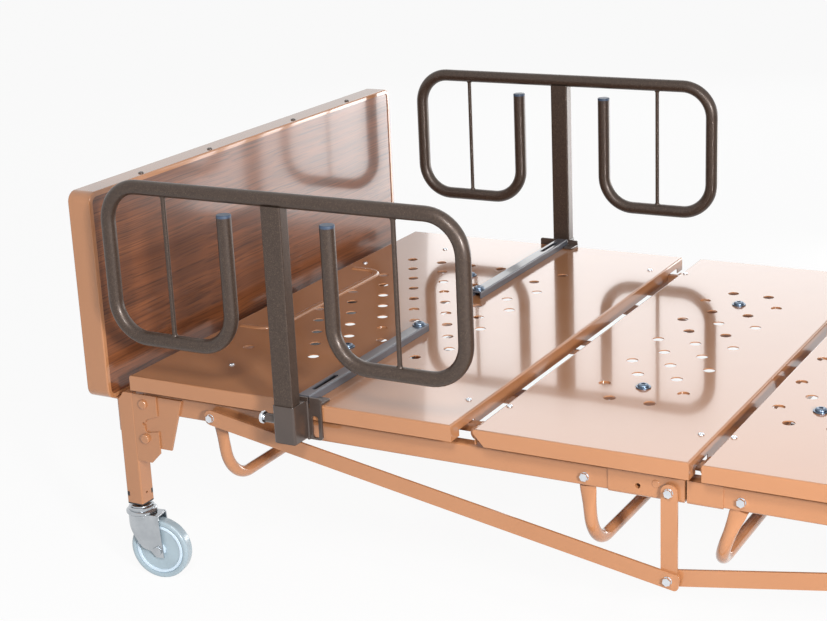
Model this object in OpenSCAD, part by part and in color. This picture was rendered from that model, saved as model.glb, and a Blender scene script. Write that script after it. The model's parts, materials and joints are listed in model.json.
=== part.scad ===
// Adjustable hospital bed: welded rail frame, four hinged mattress pans, sliding T-rails,
// telescoping legs on swivel casters and laminated end boards.
// +X runs to the foot end, +Y to the far side, +Z up; the origin is on the floor below the middle.

/* [Deck] */
// Length of the four mattress pans together
deck_len = 2032; // [2000:1:2060]
// Width of the mattress pans
deck_w = 1067; // [1060:1:1075]
// Height of the mattress pans above the floor, legs drawn in
deck_z = 412; // [405:1:430]
// Depth of the folded flange round each pan
pan_depth = 28; // [27:0.5:29]
// Thickness of the pan sheet
sheet_t = 2; // [1.5:0.1:2.2]
// Length of the backrest pan
back_len = 650; // [645:1:655]
// Length of the seat pan
seat_len = 364; // [360:1:368]
// Length of the thigh pan
thigh_len = 328; // [324:1:332]
// Gap between the backrest pan and the seat pan
back_gap = 40; // [38:1:44]
// Gap at the thigh and knee hinges
knee_gap = 20; // [19:0.5:22]
// Diameter of an air hole in the pans
air_d = 21; // [16:1:24]
// Distance from one row of air holes to the next, along the bed
air_pitch_x = 35.5; // [34:0.5:37]
// Distance between air holes in one row, across the bed
air_pitch_y = 127; // [120:1:130]

/* [Frame] */
// Distance from the middle to the outer face of a side rail
rail_y = 506; // [504:0.5:508]
// Height of a side rail
rail_h = 38; // [34:1:40]
// Thickness of a side rail
rail_d = 25; // [25:1:26]
// Depth of the top of the side rails below the mattress pans
rail_drop = 40; // [40:0.5:42]
// Outer diameter of the round cross tubes
cross_d = 21.3; // [20:0.1:22]
// Depth of the two end cross tubes below their bolts
cross_drop = 126; // [124:1:128]
// Lean of the two end cross tubes towards the middle of the bed
cross_lean = 8; // [4:1:10]
// Distance of the end truss bolts from the middle
truss_x = 852; // [840:1:860]
// Depth of the truss below the rail bolts
truss_drop = 146; // [140:1:152]
// Side of a square leg tube
leg_w = 35; // [34:0.5:36]
// Distance of the legs from the middle, along the bed
leg_x = 1046; // [1044:1:1047]

/* [End boards] */
// Thickness of an end board
board_t = 49; // [46:1:54]
// Distance of a board's inner face from the middle of the bed
board_x = 1067; // [1067:1:1072]
// Height of a board
board_h = 386; // [350:1:420]
// Depth of a board's lower edge below the mattress pans
board_drop = 56; // [50:1:58]
// Corner radius of a board
board_r = 20; // [12:1:30]
// Width of the steel lip round the laminate
lip_w = 9; // [6:1:12]

/* [T-rails] */
// Position of the T-rails along the bed
trail_x = -657; // [-670:1:-650]
// Distance of the T-rails from the middle, across the bed
trail_y = 567; // [566:0.5:569]
// Diameter of the T-rail tube
trail_d = 25.4; // [22:0.1:26]
// Half the distance between the outer upright tubes
trail_half = 343; // [335:1:350]
// Half the distance between the two hooked ends
hook_half = 100; // [90:1:105]
// Half the distance between the two thin rods
rod_half = 222; // [215:1:230]
// Height of the top tube above the pans
trail_top = 360; // [340:1:380]
// Height of the lower tubes above the pans
trail_low = 90; // [80:1:100]
// Bend radius of the T-rail tube at its centre line
trail_bend = 65; // [50:1:70]

/* [Casters] */
// Diameter of a caster wheel
wheel_d = 117; // [114:1:118]
// Width of a caster wheel
wheel_w = 24; // [22:1:26]
// Distance of the axle behind the swivel axis
trail = 35; // [33:1:37]
// Turn of the casters about their swivels
caster_turn = 9; // [-20:1:20]

/* [Hidden] */
$fn = 48;

// Paints and metals
tan_paint = "#B57C50";
bronze = "#4B4039";
walnut = "#6E4128";
zinc = "#B9BDC4";
dark_steel = "#3C4048";
black = "#1E1E20";
grey_blue = "#7F8FA0";
tyre_grey = "#9FA9B4";

// Gaps: pieces of one body that touch, and pieces that slide past each other
touch = 0.2;
slip = 0.3;
run_fit = 0.06;

// Pan edges along the bed
half_w = deck_w / 2;
back_x0 = -deck_len / 2;
back_x1 = back_x0 + back_len;
seat_x0 = back_x1 + back_gap;
seat_x1 = seat_x0 + seat_len;
thigh_x0 = seat_x1 + knee_gap;
thigh_x1 = thigh_x0 + thigh_len;
calf_x0 = thigh_x1 + knee_gap;
calf_x1 = deck_len / 2;
bend_r = 4;
notch_y = 476;
notch_w = 56;
notch_z = 17;

// Hinge axes: one height, one place each
hinge_z = -30;
back_hinge_x = (back_x1 + seat_x0) / 2;
thigh_hinge_x = (seat_x1 + thigh_x0) / 2;
knee_hinge_x = (thigh_x1 + calf_x0) / 2;
hinge_pin_r = 6;
eye_r = 12;
bar_in = 452;
bar_out = 466;
lug_in = 469;
lug_out = 479;
bar_top = -19;
bar_low = -34;

// Bolts that hold the pans, and the places they share with the bars below
back_bolt_x = -728;
seat_bolt_x = -146;
thigh_bolt_x = 158;
bolt_y = 250;
arm_bolt_y = 125;
deck_bolt_r = 5;
deck_hole_r = 5.25;
arm_x = trail_x + 12;
arm_w = 25;
arm_h = 14;
arm_in = 110;

// Levers and push tubes below the pans
lever_in = 24;
lever_out = 30;
lever_h = 89;
push_z = hinge_z - lever_h;
pin_r = 6;
back_swing = 30;
thigh_swing = 15;
push_r = 12;
back_pin_x = back_hinge_x + lever_h * tan(back_swing);
thigh_pin_x = thigh_hinge_x - lever_h * tan(thigh_swing);

// Frame
rail_wall = 2;
rail_end = 1010;
joint_x = 24;
collar_x = -104;
collar_t = 2;
rail_mid_y = rail_y - rail_d / 2;
rail_mid_z = -rail_drop - rail_h / 2;
bolt_z = rail_mid_z - 3;
bolt_r = 4;
bolt_hole_r = 4.25;
cross_rows = [
  [-truss_x, cross_lean, cross_drop],
  [-144, 4.5, 124],
  [112, -19.5, 128.5],
  [truss_x, -cross_lean, cross_drop]
];
cross_x = [for (row = cross_rows) row[0]];
cross_leg_y = 497;
cross_bend = 56;
tab_in = rail_y - rail_d - 6.2;
tab_out = rail_y - rail_d - touch;
bar_t = 5;
foot_bar_y = rail_y + touch;
strut_y = foot_bar_y + bar_t + touch;
head_bar_y = strut_y + bar_t + touch;
bar_h = 28;
strut_w = 27.5;
truss_z = bolt_z - truss_drop;
leg_y = rail_y + 9 - leg_w / 2;
leg_top = -42;
leg_low = -261;
leg_wall = 2.3;
leg_bore = leg_w - 2 * leg_wall;
bracket_t = 3;
bracket_in = leg_y + leg_w / 2 - bracket_t - touch;
gusset_in = rail_y + touch;
stud_x = 1006;
stud_zs = [-60, -126];
beam_mid_z = -80;
beam_h = 40;
beam_w = 30;
spine_top = -143.3;
spine_h = 20;
spine_w = 40;
supports_x = [back_hinge_x + 56, thigh_hinge_x - 60];

// Legs and casters
inner_w = leg_bore - 3;
inner_top = -75;
inner_low = -266;
screw_r = 5;
stem_r = 6;
fork_top = deck_z + inner_low - 1.5;
ring_h = 16;
stem_len = 21;
wheel_r = wheel_d / 2;
hub_r = wheel_r - 11;
cheek_t = 3;
cheek = wheel_w / 2 + 2;
axle_boss = 12;
axle_r = 4;
shell_r = 25.5;
window_z = -244;
window_h = 8;

// T-rail fittings and the glides under the calf pan
post_x = 38;
post_y = 25;
hook_top = 322.5;
hoop_wall = 2;
latch_z = -22;
glide_x = 985;
glide_r = 13.5;
glide_z = -rail_drop + slip + glide_r;

function lift(z) = deck_z + z;

// Copies of one shape on both long sides, or at both ends
module both_sides() {
  children();
  mirror([0, 1, 0]) children();
}

module both_ends() {
  children();
  mirror([1, 0, 0]) children();
}

module all_corners() {
  both_ends() both_sides() children();
}

// Outlines
module rounded(w, h, r) {
  square([w - 2 * r, h], center = true);
  square([w, h - 2 * r], center = true);
  for (x = [-1, 1], y = [-1, 1]) translate([x * (w / 2 - r), y * (h / 2 - r)]) circle(r);
}

module stadium(len, r) {
  square([len, 2 * r], center = true);
  for (x = [-1, 1]) translate([x * len / 2, 0]) circle(r);
}

// An outline drawn in Y and Z, run along the bed from x0 to x1
module along_x(x0, x1) {
  translate([x0, 0, 0]) rotate([90, 0, 90]) linear_extrude(x1 - x0) children();
}

// An outline drawn in X and Z, as a plate from y0 to y1
module plate_y(y0, y1) {
  translate([0, y1, 0]) rotate([90, 0, 0]) linear_extrude(y1 - y0) children();
}

// A box by its limits
module block(x, y, z) {
  translate([x[0], y[0], lift(z[0])]) cube([x[1] - x[0], y[1] - y[0], z[1] - z[0]]);
}

// A round bar across the bed, from y0 to y1, at x and depth z
module pin_y(x, z, y0, y1, r) {
  translate([x, y0, lift(z)]) rotate([-90, 0, 0]) cylinder(h = y1 - y0, r = r);
}

// A round bar along the bed
module pin_x(x0, x1, y, z, r) {
  translate([x0, y, lift(z)]) rotate([0, 90, 0]) cylinder(h = x1 - x0, r = r);
}

// A round bar that stands upright, between two heights below or above the pans
module pin_z(x, y, z0, z1, r) {
  translate([x, y, lift(z0)]) cylinder(h = z1 - z0, r = r);
}

// Hex bolt across the bed: its head lies on y_head and its nut under y_nut
module hex_bolt(x, z, y_head, y_nut) {
  translate([x, y_head, lift(z)]) rotate([-90, 0, 0]) {
    cylinder(h = 1.4, r = 8);
    translate([0, 0, 1.4]) cylinder(h = 5.6, r = 7.5, $fn = 6);
  }
  pin_y(x, z, y_nut - 7, y_head, bolt_r);
  translate([x, y_nut, lift(z)]) rotate([90, 0, 0]) cylinder(h = 6, r = 7.5, $fn = 6);
}

// Clearance for every bolt of one long side
module rail_bolt_holes() {
  for (x = concat(cross_x, [0])) pin_y(x, bolt_z, 400, 540, bolt_hole_r);
  pin_y(0, truss_z, 400, 540, bolt_hole_r);
}

// A pan: a folded tray that is open below, with round bends and notches for the hinges
module pan(x0, x1) {
  mid = (x0 + x1) / 2;
  difference() {
    intersection() {
      along_x(x0, x1) translate([0, lift(-pan_depth / 2)]) pan_outline(deck_w);
      plate_y(-half_w, half_w) translate([mid, lift(-pan_depth / 2)]) pan_outline(x1 - x0);
    }
    block([x0 + sheet_t, x1 - sheet_t], [-half_w + sheet_t, half_w - sheet_t], [-pan_depth - 1, -sheet_t]);
    both_sides() block([x0 - 1, x0 + 10], [notch_y - notch_w / 2, notch_y + notch_w / 2],
      [-pan_depth - 1, -notch_z]);
    both_sides() block([x1 - 10, x1 + 1], [notch_y - notch_w / 2, notch_y + notch_w / 2],
      [-pan_depth - 1, -notch_z]);
  }
}

module pan_outline(w) {
  square([w - 2 * bend_r, pan_depth], center = true);
  translate([-w / 2, -pan_depth / 2]) square([w, pan_depth - bend_r]);
  for (s = [-1, 1]) translate([s * (w / 2 - bend_r), pan_depth / 2 - bend_r]) circle(bend_r);
}

// Air holes in staggered rows: every other row along the bed is set half a step over.
// Holes near a bolt or under a rail arm are left out.
module air_holes(x0, count, shift, bolts, covers) {
  for (i = [0 : count - 1], k = [-3 : 2]) {
    odd = (i + shift) % 2;
    x = x0 + i * air_pitch_x;
    y = (odd == 1 ? k + 0.5 : k) * air_pitch_y;
    near_bolt = len([for (b = bolts) if (norm([x, abs(y)] - b) < 30) 1]) > 0;
    covered = len([for (c = covers) if (abs(x - c[0]) < 34 && abs(y) > c[1]) 1]) > 0;
    if (!near_bolt && !covered && abs(y) < 330)
      translate([x, y, lift(-sheet_t - 1)]) cylinder(h = sheet_t + 2, d = air_d);
  }
}

module deck_holes(x, y) {
  both_sides() pin_z(x, y, -60, 20, deck_hole_r);
}

// Button-head bolt with a hex socket, down through a pan
module deck_bolt(x, y, z, depth) {
  difference() {
    union() {
      pin_z(x, y, z, z + 2.5, 13);
      translate([x, y, lift(z + 2.5)]) cylinder(h = 4, r1 = 13, r2 = 8);
      pin_z(x, y, z - depth, z, deck_bolt_r);
    }
    translate([x, y, lift(z + 2)]) cylinder(h = 6, r = 4.6, $fn = 6);
  }
}

// Frame
module side_rails() color(tan_paint) both_sides() difference() {
  for (run = [[-rail_end, joint_x - 0.4], [joint_x + 0.4, rail_end]])
    along_x(run[0], run[1]) translate([rail_mid_y, lift(rail_mid_z)]) difference() {
      rounded(rail_d, rail_h, 4);
      rounded(rail_d - 2 * rail_wall, rail_h - 2 * rail_wall, 2);
    }
  rail_bolt_holes();
}

// Rail joint: a spigot inside and a collar outside, open above where the seat rests on the rail
module rail_splices() color(tan_paint) both_sides() difference() {
  grow = 2 * (touch + collar_t);
  union() {
    along_x(joint_x - 60, joint_x + 60) translate([rail_mid_y, lift(rail_mid_z)]) difference() {
      rounded(rail_d - 2 * rail_wall - 2 * touch, rail_h - 2 * rail_wall - 2 * touch, 2);
      rounded(rail_d - 4 * rail_wall, rail_h - 4 * rail_wall, 1.5);
    }
    along_x(collar_x, joint_x - 2) translate([rail_mid_y, lift(rail_mid_z)]) difference() {
      rounded(rail_d + grow, rail_h + grow, 4 + grow / 2);
      rounded(rail_d + 2 * touch, rail_h + 2 * touch, 4 + touch);
      translate([-rail_d, rail_h / 2 - 8]) square([2 * rail_d, 20]);
    }
  }
  rail_bolt_holes();
  pin_y(-54, bolt_z, rail_y, rail_y + 5, bolt_hole_r);
}

// Half of a cross tube about its bolt: leg, elbow and the run to the middle
module cross_half(r, drop) {
  leg_low_z = -drop + cross_bend;
  translate([0, cross_leg_y, leg_low_z]) cylinder(h = -50 - leg_low_z, r = r);
  translate([0, cross_leg_y - cross_bend, leg_low_z]) rotate([90, 0, 90])
    rotate_extrude(angle = -90) translate([cross_bend, 0]) circle(r);
  translate([0, 0, -drop]) rotate([-90, 0, 0]) cylinder(h = cross_leg_y - cross_bend, r = r);
}

// The flattened end of a cross tube: flat on the inside of the rail, out below it and down to the leg
module cross_tab() {
  rotate([90, 0, 90]) linear_extrude(28, center = true) polygon([
    [tab_in, 18], [tab_out, 18], [tab_out, -24], [cross_leg_y + 3, -24], [cross_leg_y + 3, -62],
    [cross_leg_y - 3, -62], [cross_leg_y - 3, -30], [tab_in, -30]
  ]);
}

module cross_tubes() color(tan_paint) difference() {
  for (row = cross_rows) translate([row[0], 0, lift(bolt_z)]) rotate([0, -row[1], 0]) difference() {
    both_sides() {
      cross_half(cross_d / 2, row[2]);
      cross_tab();
    }
    both_sides() cross_half(cross_d / 2 - 2, row[2]);
  }
  both_sides() rail_bolt_holes();
}

module truss_bar(y, end_x) {
  len = norm([end_x, truss_drop]);
  plate_y(y, y + bar_t) translate([end_x / 2, lift(bolt_z - truss_drop / 2)])
    rotate(atan2(truss_drop, end_x)) stadium(len, bar_h / 2);
}

module truss_bars() color(tan_paint) both_sides() difference() {
  union() {
    truss_bar(head_bar_y, -truss_x);
    truss_bar(foot_bar_y, truss_x);
  }
  rail_bolt_holes();
}

module truss_struts() color(tan_paint) both_sides() difference() {
  union() {
    plate_y(strut_y, strut_y + bar_t) translate([0, lift(bolt_z - truss_drop / 2)])
      rotate(90) stadium(truss_drop, strut_w / 2);
    pin_y(-truss_x, bolt_z, foot_bar_y, head_bar_y - touch, 9);
    pin_y(0, bolt_z, foot_bar_y + collar_t + touch, strut_y - touch, 9);
  }
  rail_bolt_holes();
}

module frame_bolts() color(zinc) {
  both_sides() {
    hex_bolt(-truss_x, bolt_z, head_bar_y + bar_t + touch, tab_in - touch);
    hex_bolt(truss_x, bolt_z, foot_bar_y + bar_t + touch, tab_in - touch);
    hex_bolt(0, bolt_z, strut_y + bar_t + touch, rail_y - rail_d - collar_t - 2 * touch);
    hex_bolt(0, truss_z, head_bar_y + bar_t + touch, foot_bar_y - touch);
    for (x = [cross_x[1], cross_x[2]]) hex_bolt(x, bolt_z, rail_y + touch, tab_in - touch);
    deck_bolt(seat_bolt_x, bolt_y, touch, 26);
  }
  board_screws();
}

module board_screws() {
  all_corners() for (y = [150, 367]) {
    pin_z(board_x + 12, y, board_h - board_drop + 0.1, board_h - board_drop + 2.1, 5);
    pin_z(board_x + 12, y, board_h - board_drop - 20, board_h - board_drop + 0.1, 2);
  }
}

module screw_holes() {
  all_corners() for (y = [150, 367]) pin_z(board_x + 12, y, board_h - board_drop - 21, board_h, 2.2);
}

// End plates welded to the rails, with headed studs that carry the bed ends
module end_gussets() color(tan_paint) all_corners() {
  plate_y(gusset_in, gusset_in + bar_t) translate([0, lift(0)])
    polygon([[1019, -44], [922, -44], [922, -60], [953, -144], [1019, -144]]);
  for (z = stud_zs) {
    pin_y(stud_x, z, gusset_in + bar_t - 1, bracket_in + bracket_t + touch, 5);
    pin_y(stud_x, z, bracket_in + bracket_t + touch, bracket_in + bracket_t + 4, 9);
    translate([stud_x, bracket_in + bracket_t + 4, lift(z)]) rotate([-90, 0, 0])
      cylinder(h = 2.5, r1 = 9, r2 = 5);
  }
}

module leg_tubes() color(tan_paint) all_corners() difference() {
  edge_x = leg_x - leg_w / 2 - touch;
  union() {
    translate([leg_x, leg_y, lift(leg_low)]) linear_extrude(leg_top - leg_low) rounded(leg_w, leg_w, 3);
    plate_y(bracket_in, bracket_in + bracket_t) translate([0, lift(0)]) polygon([
      [edge_x, leg_top], [976, leg_top], [976, -79], [1008, -96], [1008, -116], [976, -108],
      [976, -152], [998, -170], [edge_x, -173]
    ]);
  }
  translate([leg_x, leg_y, lift(leg_low - 1)]) linear_extrude(leg_top - leg_low - 2)
    rounded(leg_bore, leg_bore, 1.5);
  for (z = stud_zs) pin_y(stud_x, z, leg_y, leg_y + leg_w, 5.25);
  translate([leg_x + leg_w / 2, leg_y, lift(leg_top)]) rotate([0, 45, 0])
    cube([12, leg_w + 4, 12], center = true);
  leg_windows(0);
}

// Openings at two corners of a leg tube, for the clips of its guide
module leg_windows(gap) {
  for (s = [-1, 1]) translate([leg_x + s * leg_w / 2, leg_y + s * leg_w / 2, lift(window_z)])
    cube([14 - 2 * gap, 14 - 2 * gap, window_h - 2 * gap], center = true);
}

module leg_guides() color(black) all_corners() difference() {
  union() {
    translate([leg_x, leg_y, lift(leg_low - 2)]) linear_extrude(26)
      rounded(leg_bore - 2 * touch, leg_bore - 2 * touch, 1.5);
    translate([leg_x, leg_y, lift(leg_low - touch - 2.5)]) linear_extrude(2.5)
      rounded(leg_w, leg_w, 3);
    intersection() {
      leg_windows(touch);
      translate([leg_x, leg_y, lift(leg_low)]) linear_extrude(40) rounded(leg_w, leg_w, 3);
    }
  }
  translate([leg_x, leg_y, lift(leg_low - 5)]) linear_extrude(40)
    rounded(inner_w + 2 * slip, inner_w + 2 * slip, 1.5);
}

module end_beams() color(tan_paint) both_ends()
  translate([leg_x, 0, lift(beam_mid_z)]) rotate([90, 0, 0]) difference() {
    linear_extrude(2 * (leg_y - leg_w / 2 - touch), center = true) difference() {
      rounded(beam_w, beam_h, 4);
      rounded(beam_w - 4, beam_h - 4, 2);
    }
    rotate([0, -90, 0]) cylinder(h = 40, r = 16);
  }

// Angle brackets under the boards, on the outer faces of the legs
module board_hangers() color(tan_paint) all_corners() {
  foot_x = leg_x + leg_w / 2;
  block([foot_x + touch, foot_x + touch + 3], [leg_y - 14, leg_y + 14], [-120, -board_drop - touch]);
  block([foot_x + touch + 3, board_x + board_t - 6], [leg_y - 14, leg_y + 14],
    [-board_drop - touch - 3, -board_drop - touch]);
}

// Gear motors on the end beams, their cross shafts and the lead screws inside the legs
module hilo_drives() color(dark_steel) both_ends() {
  inner_x = leg_x - beam_w / 2 - touch;
  block([inner_x - 70, inner_x], [-60, 60], [-108, -46]);
  shaft_end = leg_y - leg_w / 2 - touch;
  pin_y(inner_x - 36, -77, 60 + touch, 190, 28);
  pin_x(inner_x + touch, leg_x - 6 - touch, 0, beam_mid_z, 14);
  pin_y(leg_x, beam_mid_z, -shaft_end, shaft_end, 6);
  both_sides() pin_z(leg_x, leg_y, -240, leg_top - 3.2, screw_r);
}

// End boards: a folded steel rim round a laminated panel
module board_outline(inset) {
  translate([0, lift(board_h / 2 - board_drop)])
    rounded(deck_w - 2 * inset, board_h - 2 * inset, board_r - inset);
}

module head_rim() {
  difference() {
    along_x(-board_x - board_t, -board_x) board_outline(0);
    along_x(-board_x - board_t - 1, -board_x - 2) board_outline(2);
    along_x(-board_x - 3, -board_x + 1) board_outline(lip_w);
    screw_holes();
  }
}

module head_panel() {
  difference() {
    along_x(-board_x - board_t + 1, -board_x - 2 - touch) board_outline(2 + touch);
    screw_holes();
  }
}

module headboard_rim() color(tan_paint) head_rim();
module headboard_panel() color(walnut) head_panel();
module footboard_rim() color(tan_paint) mirror([1, 0, 0]) head_rim();
module footboard_panel() color(walnut) mirror([1, 0, 0]) head_panel();

// Seat
module seat_pan() color(tan_paint) difference() {
  pan(seat_x0, seat_x1);
  air_holes(seat_bolt_x + 2 - 2 * air_pitch_x, 5, 0, [[seat_bolt_x, bolt_y]], []);
  deck_holes(seat_bolt_x, bolt_y);
  both_sides() plate_y(half_w - 5, half_w + 1) translate([seat_x0, lift(0)])
    polygon([[-1, -pan_depth - 1], [20, -pan_depth - 1], [-1, -6]]);
}

module hinge_lug(x, from_x) {
  plate_y(lug_in, lug_out) translate([0, lift(0)]) {
    translate([x, hinge_z]) circle(eye_r);
    translate([min(x, from_x), bar_low]) square([abs(x - from_x), bar_top - bar_low]);
  }
}

module seat_supports() color(tan_paint) difference() {
  union() {
    for (x = supports_x) translate([x, 0, lift(-rail_drop / 2 - sheet_t / 2)]) rotate([90, 0, 0])
      linear_extrude(deck_w - 20, center = true) difference() {
        rounded(25, rail_drop - sheet_t - 2 * touch, 3);
        rounded(21, rail_drop - sheet_t - 2 * touch - 4, 1.5);
      }
    both_sides() block([supports_x[0] + 12.5 + touch, supports_x[1] - 12.5 - touch],
      [bolt_y - 12, bolt_y + 12], [-26, -sheet_t - touch]);
    both_sides() hinge_lug(back_hinge_x, supports_x[0] - 12.5 - touch);
    both_sides() hinge_lug(thigh_hinge_x, supports_x[1] + 12.5 + touch);
  }
  both_sides() pin_y(back_hinge_x, hinge_z, lug_in - 1, lug_out + 1, hinge_pin_r + 0.02);
  both_sides() pin_y(thigh_hinge_x, hinge_z, lug_in - 1, lug_out + 1, hinge_pin_r + 0.02);
  deck_holes(seat_bolt_x, bolt_y);
}

module hinge_pins() color(zinc) both_sides() for (x = [back_hinge_x, thigh_hinge_x]) {
  pin_y(x, hinge_z, bar_in - 3, lug_out + touch, hinge_pin_r);
  pin_y(x, hinge_z, bar_in - 7, bar_in - 3, hinge_pin_r + 3);
}

// Drive under the deck: a spine on the cross tubes, with a saddle over each tube that lies deeper
module motor_spine() color(tan_paint) {
  spine_low = spine_top - spine_h;
  along_x(-850, 850) translate([0, lift(spine_top - spine_h / 2)]) difference() {
    rounded(spine_w, spine_h, 3);
    rounded(spine_w - 4, spine_h - 4, 1.5);
  }
  for (row = cross_rows) {
    x = row[0] + row[2] * sin(row[1]);
    tube_top = bolt_z - row[2] * cos(row[1]) + cross_d / 2;
    if (spine_low - tube_top > 1)
      block([x - 12, x + 12], [-spine_w / 2, spine_w / 2], [tube_top + touch, spine_low]);
  }
}

// Actuator barrel from x0 to x1 with its motor at the far end and feet on the spine
module actuator(x0, x1, motor_x) {
  feet_x = [x0 + 20, x1 - 20];
  difference() {
    union() {
      pin_x(x0, x1, 0, push_z, 20);
      for (x = feet_x) block([x - 15, x + 15], [-18, 18], [spine_top + touch, push_z]);
      block([motor_x - 30, motor_x + 30], [-34, 34], [spine_top + touch, push_z + 34]);
    }
    pin_x(x0 + 2, x1 - 2, 0, push_z, push_r + run_fit);
    pin_x(motor_x < (x0 + x1) / 2 ? x1 - 3 : x0 - 1, motor_x < (x0 + x1) / 2 ? x1 + 1 : x0 + 3, 0,
      push_z, push_r + run_fit);
  }
}

module bed_actuators() color(dark_steel) {
  actuator(-262, -36, -66);
  actuator(112, 340, 310);
}

module control_box() color(black) difference() {
  block([-700, -560], [-45, 45], [spine_top + touch, spine_top + 50]);
  for (y = [-24, 0, 24]) block([-563, -559], [y - 7, y + 7], [spine_top + 18, spine_top + 32]);
}

// Backrest: a raised U near its head, open towards the headboard
module emboss() {
  translate([back_x0 + 59, 0, lift(0)]) linear_extrude(3) difference() {
    rotate(90) stadium(350, 45);
    rotate(90) stadium(350, 29);
    translate([-60, -300]) square([27, 600]);
  }
}

module backrest_pan() color(tan_paint) difference() {
  union() {
    pan(back_x0, back_x1);
    emboss();
  }
  air_holes(-903, 11, 1, [[back_bolt_x, bolt_y]], [[arm_x, 90]]);
  deck_holes(back_bolt_x, bolt_y);
  deck_holes(arm_x, arm_bolt_y);
}

// Lever plate: an arm turned about its hinge, with a slot that follows the push tube's pin.
// It stays below the flanges of the pans and rises to its cross piece at root_x.
module lever(x, swing, slot_w, root_x) {
  reach = lever_h / cos(swing);
  plate_y(lever_in, lever_out) translate([x, lift(hinge_z)]) {
    difference() {
      intersection() {
        rotate(swing) {
          translate([-18, -reach]) square([36, reach + 20]);
          translate([0, -reach]) circle(18);
        }
        translate([-60, -150]) square([120, 150 - 1]);
      }
      rotate(swing) translate([0, -(lever_h + reach) / 2]) rotate(90)
        stadium(reach - lever_h, slot_w / 2);
    }
    translate([root_x < x ? root_x - x - 12.5 : 5, -10]) square([abs(root_x - x) + 7.5, 9]);
    translate([root_x - x - 12.5, -10]) square([25, bar_top - hinge_z + 10]);
  }
}

module cross_piece(x, reach) {
  block([x - 12.5, x + 12.5], [-reach, reach], [bar_top + touch, -sheet_t - touch]);
}

module side_bar(x0, x1, y0, y1) {
  block([x0, x1], [y0, y1], [bar_low, bar_top]);
}

module backrest_bars() color(tan_paint) difference() {
  union() {
    both_sides() side_bar(-960, back_hinge_x, bar_in, bar_out);
    both_sides() pin_y(back_hinge_x, hinge_z, bar_in, bar_out, eye_r);
    for (x = [-940, back_bolt_x, arm_x, -398]) cross_piece(x, bar_out);
    both_sides() lever(back_hinge_x, back_swing, 18, -398);
  }
  both_sides() pin_y(back_hinge_x, hinge_z, bar_in - 1, bar_out + 1, hinge_pin_r + run_fit);
  deck_holes(back_bolt_x, bolt_y);
  deck_holes(arm_x, arm_bolt_y);
}

// Sockets on the pan's sides that the T-rail posts slide in
module rail_clamps() color(dark_steel) both_sides() difference() {
  union() {
    block([trail_x - 21, trail_x + 21], [half_w + 4, trail_y + 15], [-58, 8]);
    block([trail_x - 40, trail_x + 48], [half_w + slip, half_w + 5], [-62, 13]);
    block([trail_x + 26, trail_x + 48], [half_w - 28, half_w + 5], [0.3, 4.3]);
    pin_x(trail_x - 43, trail_x - 20, trail_y, latch_z, 8);
  }
  block([trail_x - post_x / 2 - slip, trail_x + post_x / 2 + slip],
    [trail_y - post_y / 2 - slip, trail_y + post_y / 2 + slip], [-70, 20]);
  pin_x(trail_x - 44, trail_x, trail_y, latch_z, 5 + run_fit);
  block([trail_x + 29, trail_x + 41], [half_w - 1, half_w + 6], [-58, -19]);
}

module rail_arms() color(dark_steel) both_sides() difference() {
  block([arm_x - arm_w / 2, arm_x + arm_w / 2], [arm_in, half_w], [slip, arm_h + slip]);
  block([arm_x - arm_w / 2 + 2.5, arm_x + arm_w / 2 - 2.5], [arm_in - 1, half_w + 1], [0, arm_h - 2]);
  translate([arm_x, half_w - 70, lift(arm_h - 4)]) rotate(90) linear_extrude(8) stadium(70, 4.5);
  pin_z(arm_x, arm_bolt_y, 0, 30, deck_hole_r);
}

module backrest_bolts() color(zinc) both_sides() {
  deck_bolt(back_bolt_x, bolt_y, touch, 22);
  deck_bolt(arm_x, arm_bolt_y, arm_h + slip + touch, 36);
}

// Thigh and calf
module thigh_pan() color(tan_paint) difference() {
  pan(thigh_x0, thigh_x1);
  air_holes(thigh_bolt_x + 3 - 2 * air_pitch_x, 7, 0, [[thigh_bolt_x, bolt_y]], []);
  deck_holes(thigh_bolt_x, bolt_y);
}

module thigh_bars() color(tan_paint) difference() {
  union() {
    both_sides() side_bar(thigh_hinge_x, knee_hinge_x, bar_in, bar_out);
    both_sides() for (x = [thigh_hinge_x, knee_hinge_x]) pin_y(x, hinge_z, bar_in, bar_out, eye_r);
    both_sides() pin_y(knee_hinge_x, hinge_z, bar_in, lug_out + 2, hinge_pin_r);
    for (x = [100, thigh_bolt_x, 330]) cross_piece(x, bar_out);
    both_sides() lever(thigh_hinge_x, -thigh_swing, 14, 100);
  }
  both_sides() pin_y(thigh_hinge_x, hinge_z, bar_in - 1, bar_out + 1, hinge_pin_r + run_fit);
  deck_holes(thigh_bolt_x, bolt_y);
}

module thigh_bolts() color(zinc) both_sides() deck_bolt(thigh_bolt_x, bolt_y, touch, 22);

module calf_pan() color(tan_paint) difference() {
  pan(calf_x0, calf_x1);
  air_holes(480, 11, 1, [], []);
}

module calf_bars() color(tan_paint) difference() {
  union() {
    both_sides() side_bar(knee_hinge_x, glide_x, lug_in, lug_out);
    both_sides() pin_y(knee_hinge_x, hinge_z, lug_in, lug_out, eye_r);
    both_sides() pin_y(glide_x, glide_z, lug_in, rail_y - 4, 5);
    both_sides() block([glide_x - 14, glide_x], [lug_in, lug_out], [bar_low, -15]);
    for (x = [470, 700, 930]) cross_piece(x, lug_out);
  }
  both_sides() pin_y(knee_hinge_x, hinge_z, lug_in - 1, lug_out + 1, hinge_pin_r + run_fit);
}

module calf_glides() color(black) both_sides() difference() {
  pin_y(glide_x, glide_z, lug_out + touch, rail_y - 4, glide_r);
  pin_y(glide_x, glide_z, lug_out - 1, rail_y, 5 + 0.05);
}

// Push tube with its cross pin in the lever slots
module push_tube(x0, x1, cross_pin) {
  pin_x(x0, x1, 0, push_z, push_r);
  pin_y(cross_pin, push_z, -lever_out - 3, lever_out + 3, pin_r);
}

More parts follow.
